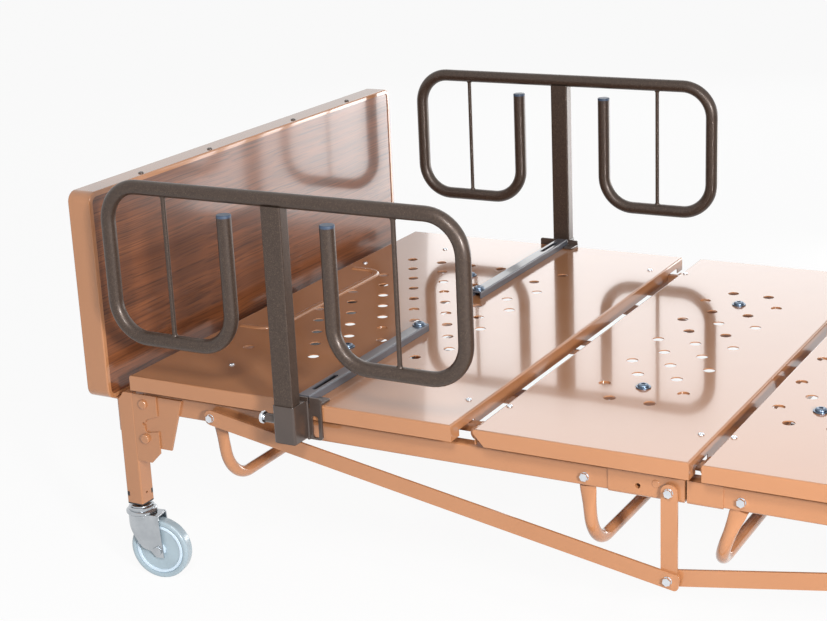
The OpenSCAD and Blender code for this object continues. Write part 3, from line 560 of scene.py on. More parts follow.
def makeUprights():
    underTop = deckTop + trail["top"] - trail["radius"]
    aboveLow = deckTop + trail["low"] + trail["radius"]
    halfX, halfY = trail["postX"] / 2, trail["postY"] / 2
    post = addBox("nearUprights", (trailX - halfX, trailY - halfY, deckTop + trail["postLow"]),
                  (trailX + halfX, trailY + halfY, underTop + 0.003))
    roundEdges(post, runsZ, 0.003, 4)
    pushFace(post, lambda c, n: n.z < -0.9, 0.002, -0.06)
    parts = [post]
    for side in (-1, 1):
        x = trailX + side * trail["rod"]
        rod = addRod("rod", (x, trailY, aboveLow + 0.003), (x, trailY, underTop - 0.003),
                     trail["rodRadius"], 20)
        startEdit(rod)
        for up in (-1, 1):  # the rod spreads into its weld at both ends
            choose("FACE", lambda c, n: n.z * up > 0.9)
            pull((0, 0, up * 0.0045))
            bpy.ops.transform.resize(value=(1.7, 1.5, 1), center_override=(x, trailY, 0))
        endEdit()
        parts.append(rod)
    return joinPieces("nearUprights", parts)


def makeCaps():
    parts = []
    for side in (-1, 1):
        x = trailX + side * trail["hook"]
        low = deckTop + trail["hookTop"]
        cap = addRod("cap", (x, trailY, low - 0.0005), (x, trailY, low + trail["capHigh"]),
                     trail["radius"] + 0.0001, 36)
        roundEdges(cap, lambda c, d: c.z > low + 0.004, 0.0018, 4)
        parts.append(cap)
    return joinPieces("nearCaps", parts)


for pieceMaker, look, slot, word in ((makeHoop, bronze, "bronze_paint", "rail_hoop"),
                                     (makeUprights, bronze, "bronze_paint", "rail_uprights"),
                                     (makeCaps, greyVinyl, "grey_cap", "rail_caps")):
    near = pieceMaker()
    far = copyPiece(near, near.name.replace("near", "far"), acrossBed)
    finishPiece(near, look, "near_rail", slot, "near_" + word)
    finishPiece(far, look, "far_rail", slot, "far_" + word)
print("T-rails bent")

# End boards: a folded steel rim round a walnut panel
board = {"corner": 0.02, "edge": 0.003, "lip": 0.009, "recess": 0.0022, "backLip": 0.002}


def makeRim(name, node, inward):
    low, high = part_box(node)
    rim = addBox(name, low, high)
    roundEdges(rim, runsX, board["corner"], 8)
    roundEdges(rim, notX, board["edge"], 4)
    pushFace(rim, lambda c, n: n.x * inward > 0.99, board["lip"] - board["edge"], -board["recess"])
    pushFace(rim, lambda c, n: n.x * inward < -0.99, board["backLip"], -0.0012)
    finishPiece(rim, *tanFrame, node)


def makePanel(name, node):
    # the face stands just above the bottom of the rim's recess
    low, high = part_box(node)
    margin = board["lip"] - 0.0022
    low, high = low + Vector((0, margin, margin)), high - Vector((0, margin, margin))
    low.x, high.x = low.x - 0.0006, high.x + 0.0006
    panel = addBox(name, low, high)
    roundEdges(panel, runsX, board["corner"] - board["lip"], 6)
    roundEdges(panel, notX, 0.0006, 2)
    finishPiece(panel, walnutLaminate, "frame", "walnut_laminate", node)


for word, inward in (("head", 1), ("foot", -1)):
    makeRim(word + "Rim", word + "board_rim", inward)
    makePanel(word + "Panel", word + "board_panel")
print("end boards made")

# Casters: a swivel ring over a pressed fork, a nylon wheel and a soft tyre
caster = {"ring": [(0.0165, 0.0), (0.0195, -0.0003), (0.02, -0.002), (0.0226, -0.0023), (0.024, -0.0036),
                   (0.024, -0.0085), (0.0274, -0.0091), (0.029, -0.0106), (0.029, -0.0144), (0.0278, -0.0158),
                   (0.0255, -0.0165)],
          "ringHigh": 0.016, "cheek": 0.014, "sheet": 0.003, "shell": 0.0255, "back": 0.012, "nut": 0.0092,
          "tyreWidth": 0.024, "hubRadius": 0.0475, "bulge": 0.0056}


def startLine(name, points):
    # a plane is merged to one point, which is pulled from corner to corner
    clearSelection()
    bpy.ops.mesh.primitive_plane_add(size=0.001)
    piece = settle(name)
    startEdit(piece)
    bpy.ops.mesh.delete(type="ONLY_FACE")
    choose("VERT", lambda c, n: True)
    bpy.ops.mesh.merge(type="CENTER")
    bpy.ops.transform.translate(value=points[0])
    for last, point in zip(points, points[1:]):
        pull(point - last)
    selectAll()
    return piece


def latheAbout(name, profile, spot, axis, sides=48):
    # a profile of (radius, height) points spun once round an axis
    axis, spot = Vector(axis), Vector(spot)
    side = axis.orthogonal().normalized()
    piece = startLine(name, [spot + side * radius + axis * height for radius, height in profile])
    bpy.ops.mesh.spin(steps=sides, angle=2 * math.pi, center=spot, axis=axis)
    sealMesh()
    return piece


def addProfile(name, points, low, high):
    # a flat outline of (x, z) points drawn at y = low and pulled along to y = high
    piece = startLine(name, [Vector((x, low, z)) for x, z in points])
    bpy.ops.mesh.edge_face_add()
    pull((0, high - low, 0))
    faceOut()
    return piece


def makeForkBody(name, swivel, back, half, radius, low, high):
    # a round front about the swivel that runs back as a box
    front = addRod(name, (swivel.x, swivel.y, low), (swivel.x, swivel.y, high), radius, 56)
    tail = addBox("tail", (swivel.x, swivel.y - half, low), (back, swivel.y + half, high))
    addModifier(front, "BOOLEAN", object=tail, operation="UNION", solver="EXACT")
    bpy.data.objects.remove(tail)
    return front


def makeFork(swivel, top, axle):
    # drawn with the wheel trailing towards +X
    ring = latheAbout("ring", caster["ring"], (swivel.x, swivel.y, top), (0, 0, 1))
    outer = caster["cheek"] + caster["sheet"]
    shellTop = top - caster["ringHigh"]
    back, low = axle.x + caster["back"], axle.z - 0.014
    shell = makeForkBody("shell", swivel, back, outer, caster["shell"], low, shellTop)
    core = makeForkBody("core", swivel, back + 0.01, caster["cheek"], caster["shell"] - caster["sheet"],
                        low - 0.01, shellTop - caster["sheet"])
    cutWith(shell, core)
    corners = [(swivel.x - 0.03, shellTop + 0.001), (swivel.x - 0.03, shellTop - 0.0075),
               (swivel.x + 0.0085, axle.z + 0.0065), (axle.x - 0.013, axle.z - 0.004),
               (axle.x - 0.004, low), (back - 0.0005, low), (back - 0.006, shellTop + 0.001)]
    outline = addProfile("outline", corners, swivel.y - 0.04, swivel.y + 0.04)
    addModifier(shell, "BOOLEAN", object=outline, operation="INTERSECT", solver="EXACT")
    bpy.data.objects.remove(outline)
    roundEdges(shell, lambda c, d: c.z > shellTop - 0.0003 and abs(d.z) < 0.1, 0.0014, 3)
    nut = addRod("nut", (axle.x, swivel.y - outer - 0.0045, axle.z),
                 (axle.x, swivel.y + outer + 0.0045, axle.z), caster["nut"], 6)
    cutWith(nut, addBox("between", (axle.x - 0.02, swivel.y - outer, axle.z - 0.02),
                        (axle.x + 0.02, swivel.y + outer, axle.z + 0.02)))
    roundEdges(nut, lambda c, d: abs(d.y) < 0.1 and abs(c.y - swivel.y) > outer + 0.004, 0.0011, 2)
    stub = addRod("stub", (axle.x, swivel.y - outer - 0.0049, axle.z),
                  (axle.x, swivel.y + outer + 0.0049, axle.z), 0.004, 20)
    roundEdges(stub, notY, 0.0006, 2)
    return joinPieces("fork", [ring, shell, nut, stub])


def makeHub(axle):
    rim = caster["hubRadius"] - 0.0001
    profile = [(0.0043, 0.0134), (0.0105, 0.0134), (0.0122, 0.0124), (0.013, 0.006), (0.0148, 0.0042),
               (0.0385, 0.0036), (0.0403, 0.005), (0.041, 0.0094), (0.0422, 0.0112), (rim - 0.0012, 0.0112),
               (rim, 0.0098)]
    profile += [(r, -h) for r, h in reversed(profile)]
    return latheAbout("hub", profile, axle, (0, 1, 0), 72)


def makeTyre(axle, radius):
    half, inner, bulge = caster["tyreWidth"] / 2, caster["hubRadius"], caster["bulge"]
    profile = [(inner, half - 0.003), (inner + 0.0012, half - 0.0009), (inner + 0.003, half - 0.0001)]
    for turn in range(0, 91, 15):
        a = math.radians(90 - turn)
        profile.append((radius - bulge + bulge * math.cos(a), half - bulge + bulge * math.sin(a)))
    profile += [(r, -h) for r, h in reversed(profile)]
    return latheAbout("tyre", profile, axle, (0, 1, 0), 80)


def makeCasters():
    # drawn trailing along the bed, then turned about the swivel as the frame has them
    legLow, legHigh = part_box("head_near_inner_leg")
    tyreLow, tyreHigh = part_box("head_near_tyre")
    swivel = (legLow + legHigh) / 2
    wheel = (tyreLow + tyreHigh) / 2
    lag = (wheel - swivel).xy
    axle = Vector((swivel.x + lag.length, swivel.y, wheel.z))
    turn = (Matrix.Translation(swivel) @ Matrix.Rotation(math.atan2(lag.y, lag.x), 4, "Z")
            @ Matrix.Translation(-swivel))
    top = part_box("head_near_fork")[1].z
    parts = {"fork": (makeFork(swivel, top, axle), chrome, "chrome"),
             "hub": (makeHub(axle), paleNylon, "wheel_hub"),
             "tyre": (makeTyre(axle, (tyreHigh.z - tyreLow.z) / 2), greyTread, "tyre")}
    for end, flipX in (("head", 1), ("foot", -1)):
        for side, flipY in (("near", 1), ("far", -1)):
            for word, (source, look, slot) in parts.items():
                node = end + "_" + side + "_" + word
                piece = copyPiece(source, end + side.title() + word.title(), mirrorOver(flipX, flipY) @ turn)
                finishPiece(piece, look, bodyOf[node], slot, node)
    for word in parts:
        bpy.data.objects.remove(parts[word][0])


makeCasters()
print("casters built")

# Clamps on the backrest's sides that the T-rail posts slide in, and the arms across the pan
clamp = {"socketX": 0.021, "socketIn": 0.004, "socketOut": 0.015, "low": -0.058, "high": 0.008,
         "plateX": (-0.04, 0.048), "plateZ": (-0.062, 0.013), "plate": 0.0047, "slotX": (0.029, 0.041),
         "slotZ": (-0.058, -0.019), "tabX": (0.026, 0.048), "tabIn": 0.028, "latchZ": -0.022, "latch": 0.008,
         "gapX": (0.0225, 0.0255), "barrel": 0.043, "weldIn": 0.0054, "puddles": 26}
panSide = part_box("backrest_pan")[0].y


def onClamp(x, y, z):
    # from the post's middle, the pan's side and the deck
    return (trailX + x, panSide + y, deckTop + z)


def makeClamp():
    # drawn on the near side; the far one is its mirror image
    halfX, halfY = trail["postX"] / 2, trail["postY"] / 2
    socketX, weldIn, latchZ = clamp["socketX"], clamp["weldIn"], deckTop + clamp["latchZ"]
    socket = addBox("railClamps", (trailX - socketX, trailY - clamp["socketOut"], deckTop + clamp["low"]),
                    onClamp(socketX, -clamp["socketIn"], clamp["high"]))
    roundEdges(socket, runsZ, 0.005, 4)
    bore = addBox("bore", (trailX - halfX - 0.0004, trailY - halfY - 0.0004, deckTop - 0.1),
                  (trailX + halfX + 0.0004, trailY + halfY + 0.0004, deckTop + 0.1))
    roundEdges(bore, runsZ, 0.003, 3)
    cutWith(socket, bore)
    roundEdges(socket, lambda c, d: c.z > deckTop + clamp["high"] - 0.0005 and abs(d.z) < 0.1
               and max(abs(c.x - trailX) - halfX, abs(c.y - trailY) - halfY) > 0.001, 0.0012, 2)
    (left, right), (plateLow, plateHigh) = clamp["plateX"], clamp["plateZ"]
    plate = addBox("plate", (trailX + left, panSide - 0.0003 - clamp["plate"], deckTop + plateLow),
                   onClamp(right, -0.0003, plateHigh))
    roundEdges(plate, lambda c, d: abs(d.y) > 0.9 and c.z < deckTop, 0.006, 4)
    roundEdges(plate, lambda c, d: abs(d.y) > 0.9 and c.z > deckTop, 0.004, 4)
    slot = addBox("slot", onClamp(clamp["slotX"][0], -0.03, clamp["slotZ"][0]),
                  onClamp(clamp["slotX"][1], 0.03, clamp["slotZ"][1]))
    roundEdges(slot, runsY, 0.004, 4)
    gap = addBox("gap", onClamp(clamp["gapX"][0], -0.03, -0.006), onClamp(clamp["gapX"][1], 0.03, 0.03))
    cutWith(plate, slot, gap)
    roundEdges(plate, notY, 0.0007, 2)
    tab = addBox("tab", onClamp(clamp["tabX"][0], -0.005, 0.0003),
                 onClamp(clamp["tabX"][1], clamp["tabIn"], 0.0043))
    roundEdges(tab, runsZ, 0.004, 4)
    roundEdges(tab, notZ, 0.0009, 2)
    barrel = addRod("barrel", (trailX - clamp["barrel"], trailY, latchZ),
                    (trailX - socketX + 0.001, trailY, latchZ), clamp["latch"], 28)
    pushFace(barrel, lambda c, n: n.x < -0.9, 0.0025, -0.012)
    roundEdges(barrel, lambda c, d: c.x < trailX - 0.0429, 0.0007, 2)
    seams = []
    for x in (-socketX - 0.0004, socketX + 0.0004):
        seam = addRod("seam", onClamp(x, -weldIn, plateLow),
                      (trailX + x, panSide - weldIn, deckTop + clamp["high"] - 0.001), 0.0024, 10)
        startEdit(seam)
        choose("EDGE", runsZ)
        bpy.ops.mesh.subdivide(number_cuts=clamp["puddles"])
        for wave in range(1, clamp["puddles"] + 1, 2):  # the puddles of the weld
            z = deckTop + plateLow + wave * (clamp["high"] - 0.001 - plateLow) / (clamp["puddles"] + 1)
            choose("VERT", lambda c, n: abs(c.z - z) < 0.0004)
            bpy.ops.transform.resize(value=(1.28, 1.28, 1), center_override=(trailX + x, panSide - weldIn, z))
        endEdit()
        seams.append(seam)
    near = joinPieces("railClamps", [socket, plate, tab, barrel, *seams])
    finishPiece(withFarSide("railClamps", near), darkBronze, "backrest", "dark_steel", "rail_clamps")


arm = {"width": 0.025, "height": 0.014, "inner": 0.11, "wall": 0.0025, "slotHalf": 0.0045, "slotRun": 0.035,
       "slotIn": 0.07, "lift": 0.0003}


def makeArms():
    base = deckTop + arm["lift"]
    half = arm["width"] / 2
    channel = addBox("railArms", (armX - half, panSide, base),
                     (armX + half, -arm["inner"], base + arm["height"]))
    roundEdges(channel, lambda c, d: abs(d.y) > 0.9 and c.z > base + 0.001, 0.0025, 3)
    hollow = addBox("hollow", (armX - half + arm["wall"], panSide - 0.01, base - 0.01),
                    (armX + half - arm["wall"], -arm["inner"] + 0.01, base + arm["height"] - arm["wall"]))
    slotMiddle, slotHalf = panSide + arm["slotIn"], arm["slotHalf"]
    slot = addBox("slot", (armX - slotHalf, slotMiddle - arm["slotRun"] - slotHalf, base),
                  (armX + slotHalf, slotMiddle + arm["slotRun"] + slotHalf, base + 0.03))
    roundEdges(slot, runsZ, slotHalf * 0.98, 5)
    cutWith(channel, hollow, slot)
    finishPiece(withFarSide("railArms", channel), steelPaint, "backrest", "dark_steel", "rail_arms")


plunger = {"pin": 0.005, "pinX": (0.05, 0.0195), "knob": 0.011, "knobX": (0.053, 0.046)}


def makePlungers():
    z = deckTop + clamp["latchZ"]
    pin = addRod("nearPlunger", (trailX - plunger["pinX"][0], trailY, z),
                 (trailX - plunger["pinX"][1], trailY, z), plunger["pin"], 24)
    roundEdges(pin, lambda c, d: c.x > trailX - 0.02, 0.0015, 3)
    knob = addRod("knob", (trailX - plunger["knobX"][0], trailY, z),
                  (trailX - plunger["knobX"][1], trailY, z), plunger["knob"], 36)
    roundEdges(knob, notX, 0.0022, 4)
    startEdit(knob)
    choose("FACE", lambda c, n: abs(n.x) > 0.99)
    bpy.ops.mesh.inset(thickness=0.0025, depth=-0.0012)
    endEdit()
    near = joinPieces("nearPlunger", [pin, knob])
    far = copyPiece(near, "farPlunger", mirrorOver(1, -1))
    finishPiece(near, brightZinc, "near_plunger_pin", "zinc", "near_plunger")
    finishPiece(far, brightZinc, "far_plunger_pin", "zinc", "far_plunger")


makeClamp()
makeArms()
makePlungers()
print("clamps and arms made")

# Bolts: hex heads on the frame, button heads with a hex socket on the deck, small screws on the pans
bolt = {"washer": 0.0076, "washerHigh": 0.001, "hex": 0.0075, "hexHigh": 0.0056, "shank": 0.004,
        "nutHigh": 0.006}


def makeHexBolt(head, nut):
    # head outside at y = -head, nut inside at y = -nut, on the near side
    washer = addRod("washer", (0, -head - bolt["washerHigh"], 0), (0, -head, 0), bolt["washer"], 32)
    roundEdges(washer, lambda c, d: c.y < -head - 0.0008, 0.0003, 2)
    top = addRod("top", (0, -head - bolt["washerHigh"] - bolt["hexHigh"], 0),
                 (0, -head - bolt["washerHigh"], 0), bolt["hex"], 6)
    roundEdges(top, lambda c, d: c.y < -head - bolt["washerHigh"] - 0.005, 0.0011, 2)
    shank = addRod("shank", (0, -head, 0), (0, -nut + 0.0075, 0), bolt["shank"], 20)
    roundEdges(shank, lambda c, d: c.y > -nut + 0.007, 0.0008, 2)
    backNut = addRod("nut", (0, -nut, 0), (0, -nut + bolt["nutHigh"], 0), bolt["hex"], 6)
    roundEdges(backNut, notY, 0.0007, 2)
    return joinPieces("bolt", [washer, top, shank, backNut])


button = {"washer": 0.013, "washerHigh": 0.0022, "head": 0.0098, "top": 0.0064, "socket": 0.0042}


def makeDeckBolt():
    # stands on z = 0
    washer = addRod("deckBolt", (0, 0, 0), (0, 0, button["washerHigh"]), button["washer"], 40)
    roundEdges(washer, lambda c, d: c.z > 0.002, 0.0008, 2)
    head = addRod("head", (0, 0, 0.002), (0, 0, button["top"]), button["head"], 40)
    roundEdges(head, lambda c, d: c.z > 0.006, 0.0036, 5)
    socket = addRod("socket", (0, 0, 0.0035), (0, 0, 0.02), button["socket"], 6)
    cutWith(head, socket)
    return joinPieces("deckBolt", [washer, head])


screwHead = {"radius": 0.0052, "top": 0.0026, "slotLong": 0.0032, "slotWide": 0.0006, "slotLow": 0.0012}


def makePanScrew():
    screw = addRod("panScrew", (0, 0, -0.0005), (0, 0, screwHead["top"]), screwHead["radius"], 28)
    roundEdges(screw, lambda c, d: c.z > 0.0025, 0.002, 4)
    long, wide = screwHead["slotLong"], screwHead["slotWide"]
    for x, y in ((long, wide), (wide, long)):  # a cross slot
        cutWith(screw, addBox("slot", (-x, -y, screwHead["slotLow"]), (x, y, 0.01)))
    return screw


def spread(source, name, places, look, body, slot, *nodes):
    # copies of one fastener at several places, joined as one piece
    copies = [copyPiece(source, name, Matrix.Translation(place)) for place in places]
    finishPiece(joinPieces(name, copies), look, body, slot, *nodes)


def bothSides(*places):
    return [(x, side * y, z) for x, y, z in places for side in (-1, 1)]


deckBolt = makeDeckBolt()
onDeck = deckTop + 0.0002
onArm = (armX, 0.125, onDeck + 0.0143)
spread(deckBolt, "backrestBolts", bothSides((*boltPlaces["backrest"], onDeck), onArm),
       slateZinc, "backrest", "zinc", "backrest_bolts")
spread(deckBolt, "thighBolts", bothSides((*boltPlaces["thigh"], onDeck)),
       slateZinc, "thigh", "zinc", "thigh_bolts")
spread(deckBolt, "seatBolts", bothSides((*boltPlaces["seat"], onDeck)), slateZinc, "frame", "zinc")
panScrew = makePanScrew()
screwPlaces = {"backrest": ("backrest", ((-0.875, 0.415), (-0.393, 0.415), (-0.987, 0.255))),
               "seat": ("frame", ((-0.316, 0.417), (0.016, 0.417))),
               "thigh": ("thigh", ((0.067, 0.41), (0.377, 0.41))),
               "calf": ("calf", ((0.416, 0.41), (0.987, 0.41)))}
for word, (body, places) in screwPlaces.items():
    spread(panScrew, word + "Screws", bothSides(*[(x, y, deckTop) for x, y in places]),
           brightZinc, body, "zinc")
for spare in (deckBolt, panScrew):
    bpy.data.objects.remove(spare)
print("deck fasteners placed")

# Frame: rails, collars, cross tubes, truss and its bolts
rail = {"outer": 0.506, "depth": 0.025, "corner": 0.004, "joint": 0.024, "boltZ": -0.062, "collarX": -0.104,
        "collarEnd": 0.084, "collar": 0.0022, "spareX": -0.054, "spare": 0.0045, "gap": 0.0015}
truss = {"reach": 0.852, "drop": 0.146, "barHigh": 0.028, "bar": 0.005, "strutWide": 0.0275, "footY": 0.5062,
         "strutY": 0.5114, "headY": 0.5166, "tail": 0.0045, "dimpleX": 0.0145, "spacer": 0.009}
# x, lean in degrees and drop of each cross tube
crossRows = ((-0.852, 8, 0.126), (-0.144, 4.5, 0.124), (0.112, -19.5, 0.1285), (0.852, -8, 0.126))


def spareDrill(side):
    z = deckTop + rail["boltZ"]
    return addRod("drill", (rail["spareX"], side * 0.49, z), (rail["spareX"], side * 0.52, z),
                  rail["spare"], 24)


def makeRails():
    low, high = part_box("side_rails")
    parts = []
    for side in (-1, 1):
        for start, end in ((low.x, rail["joint"] - rail["gap"]), (rail["joint"] + rail["gap"], high.x)):
            y = sorted((side * rail["outer"], side * (rail["outer"] - rail["depth"])))
            run = addBox("sideRails", (start, y[0], low.z), (end, y[1], high.z))
            roundEdges(run, runsX, rail["corner"], 4)
            pushFace(run, lambda c, n: n.x > 0.9, 0.002, -0.03)
            pushFace(run, lambda c, n: n.x < -0.9, 0.002, -0.03)
            cutWith(run, spareDrill(side))
            parts.append(run)
    finishPiece(joinPieces("sideRails", parts), *tanFrame, "side_rails")


def makeCollars():
    low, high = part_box("side_rails")
    inner, outer = rail["outer"] - rail["depth"] - rail["collar"], rail["outer"] + rail["collar"]
    parts = []
    for side in (-1, 1):
        y = sorted((side * inner, side * outer))
        gap = sorted((side * (rail["outer"] - rail["depth"] - 0.0001), side * (rail["outer"] + 0.0001)))
        for start, end in ((rail["collarX"], rail["joint"] - 0.002),
                           (rail["joint"] + 0.002, rail["collarEnd"])):
            sleeve = addBox("railCollars", (start, y[0], low.z - rail["collar"]),
                            (end, y[1], high.z - 0.0005))
            roundEdges(sleeve, lambda c, d: abs(d.x) > 0.9 and c.z < low.z,
                       rail["corner"] + rail["collar"], 4)
            roundEdges(sleeve, lambda c, d: abs(d.y) > 0.9 and c.z < low.z + 0.01, 0.006, 4)
            trough = addBox("trough", (start - 0.01, gap[0], low.z - 0.0001),
                            (end + 0.01, gap[1], high.z + 0.01))
            cutWith(sleeve, trough, spareDrill(side))
            parts.append(sleeve)
        weld = addRod("weld", (-0.024, side * (outer - 0.001), deckTop + rail["boltZ"] + 0.008),
                      (-0.024, side * (outer + 0.0012), deckTop + rail["boltZ"] + 0.008), 0.007, 24)
        roundEdges(weld, lambda c, d: abs(c.y) > outer + 0.001, 0.002, 3)
        parts.append(weld)
    finishPiece(joinPieces("railCollars", parts), *tanFrame, "rail_splices")


cross = {"legY": 0.497, "bend": 0.056, "radius": 0.01065, "round": -0.062, "flatIn": 0.0192, "tabTop": 0.018}


def makeCrossTubes():
    # each end is pressed flat and set in against the rail; drawn upright under its bolt, then leaned
    parts = []
    for x, lean, drop in crossRows:
        legRun = cross["round"] - cross["bend"] + drop
        tube = addTube("crossTubes", (0, -cross["legY"], cross["round"]), (0, 0, -1), cross["radius"],
                       [("run", legRun, None), ("bend", cross["bend"], (0, 1, 0)),
                        ("run", 2 * (cross["legY"] - cross["bend"]), None),
                        ("bend", cross["bend"], (0, 0, 1)), ("run", legRun, None)], 28)
        startEdit(tube)
        for side in (-1, 1):
            choose("FACE", lambda c, n: n.z > 0.9 and c.y * side > 0.4 and c.z > cross["round"] - 0.001)
            for rise, inset, wide, thin in ((0.012, 0, 1.08, 0.8), (0.012, 0, 1.1, 0.7), (0.01, 0, 1.1, 0.62),
                                            (0.0095, 0, 1.02, 0.9), (0.002, cross["flatIn"], 1, 1)):
                pull((0, -side * inset, rise))
                bpy.ops.transform.resize(value=(wide, thin, 1), center_override=bmeshMiddle())
            pull((0, 0, cross["tabTop"] - bmeshMiddle().z))
        endEdit()
        tube.data.transform(Matrix.Translation((x, 0, deckTop + rail["boltZ"]))
                            @ Matrix.Rotation(math.radians(-lean), 4, "Y"))
        parts.append(tube)
    finishPiece(joinPieces("crossTubes", parts), *tanFrame, "cross_tubes")


def bmeshMiddle():
    # middle of the selected points
    mesh = bmesh.from_edit_mesh(bpy.context.object.data)
    points = [v.co for v in mesh.verts if v.select]
    return sum(points, Vector()) / len(points)


def makeStrip(name, start, end, y, wide, tail=0):
    # flat bar with round ends between two bolt places (x, z), on the near side; a tail squares the end off
    start, end = Vector(start), Vector(end)
    length = (end - start).length
    strip = addBox(name, (-length / 2 - wide / 2, -truss["bar"], -wide / 2),
                   (length / 2 + wide / 2 + tail, 0, wide / 2))
    roundEdges(strip, lambda c, d: abs(d.y) > 0.9 and (c.x < 0 or not tail), wide / 2 * 0.99, 8)
    if tail:
        roundEdges(strip, lambda c, d: abs(d.y) > 0.9 and c.x > length / 2 + 0.01, 0.007, 5)
    roundEdges(strip, notY, 0.0007, 2)
    turn = math.atan2(end[1] - start[1], end[0] - start[0])
    strip.data.transform(Matrix.Translation(((start[0] + end[0]) / 2, -y, (start[1] + end[1]) / 2))
                         @ Matrix.Rotation(-turn, 4, "Y"))
    return strip


def makeTruss():
    high, low = deckTop + rail["boltZ"], deckTop + rail["boltZ"] - truss["drop"]
    reach, face = truss["reach"], -truss["headY"] - truss["bar"]
    bars = [makeStrip("trussBars", (-reach, high), (0, low), truss["headY"], truss["barHigh"], truss["tail"]),
            makeStrip("footBar", (0, low), (reach, high), truss["footY"], truss["barHigh"])]
    dimpleX = -reach + truss["dimpleX"]
    dimple = addRod("dimple", (dimpleX, face - 0.0006, high - 0.004), (dimpleX, face + 0.001, high - 0.004),
                    0.0055, 20)
    roundEdges(dimple, lambda c, d: c.y < face, 0.0012, 2)
    bars.append(dimple)
    near = joinPieces("trussBars", bars)
    finishPiece(withFarSide("trussBars", near), *tanFrame, "truss_bars")
    strut = makeStrip("trussStruts", (0, low), (0, high), truss["strutY"], truss["strutWide"])
    spacers = [addRod("spacer", (-reach, -truss["footY"], high), (-reach, -truss["headY"], high),
                      truss["spacer"], 28),
               addRod("spacer", (0, -truss["footY"] - 0.0024, high), (0, -truss["strutY"], high),
                      truss["spacer"], 28)]
    for spacer in spacers:
        roundEdges(spacer, notY, 0.0006, 2)
    near = joinPieces("trussStruts", [strut, *spacers])
    finishPiece(withFarSide("trussStruts", near), *tanFrame, "truss_struts")


def makeFrameBolts():
    high, low = deckTop + rail["boltZ"], deckTop + rail["boltZ"] - truss["drop"]
    tabIn = rail["outer"] - rail["depth"] - 0.0064
    rows = [(-truss["reach"], high, truss["headY"] + truss["bar"], tabIn),
            (truss["reach"], high, truss["footY"] + truss["bar"], tabIn),
            (0, high, truss["strutY"] + truss["bar"],
             rail["outer"] - rail["depth"] - rail["collar"] - 0.0002),
            (0, low, truss["headY"] + truss["bar"], truss["footY"]),
            (crossRows[1][0], high, rail["outer"], tabIn), (crossRows[2][0], high, rail["outer"], tabIn)]
    parts = []
    for turn, (x, z, head, nut) in enumerate(rows):
        one = makeHexBolt(head + 0.0002, nut - 0.0002)
        one.data.transform(Matrix.Translation((x, 0, z)) @ Matrix.Rotation(math.radians(23 * turn), 4, "Y"))
        parts += [one, copyPiece(one, "farBolt", mirrorOver(1, -1))]
    finishPiece(joinPieces("frameBolts", parts), brightZinc, "frame", "zinc", "frame_bolts")
    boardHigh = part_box("headboard_rim")[1]
    screw = makePanScrew()
    spread(screw, "boardScrews", [(end * (-boardHigh.x + 0.012), y, boardHigh.z) for end in (-1, 1)
                                  for y in (-0.367, -0.15, 0.15, 0.367)], darkBronze, "frame", "zinc")
    bpy.data.objects.remove(screw)


makeRails()
makeCollars()
makeCrossTubes()
makeTruss()
makeFrameBolts()
print("frame built")

# Legs: square tubes with a hooked bracket on two headed studs of the rail's end plate
leg = {"side": 0.035, "corner": 0.003, "top": -0.042, "low": -0.261, "x": 1.046, "y": 0.4975, "wall": 0.0023,
       "bracket": 0.003, "windowZ": -0.244, "window": 0.0092, "bracketLow": 0.173, "tip": -0.976,
       "hookX": -1.007, "hookZ": (0.116, 0.092), "weepX": -1.0085, "weepZ": 0.098}


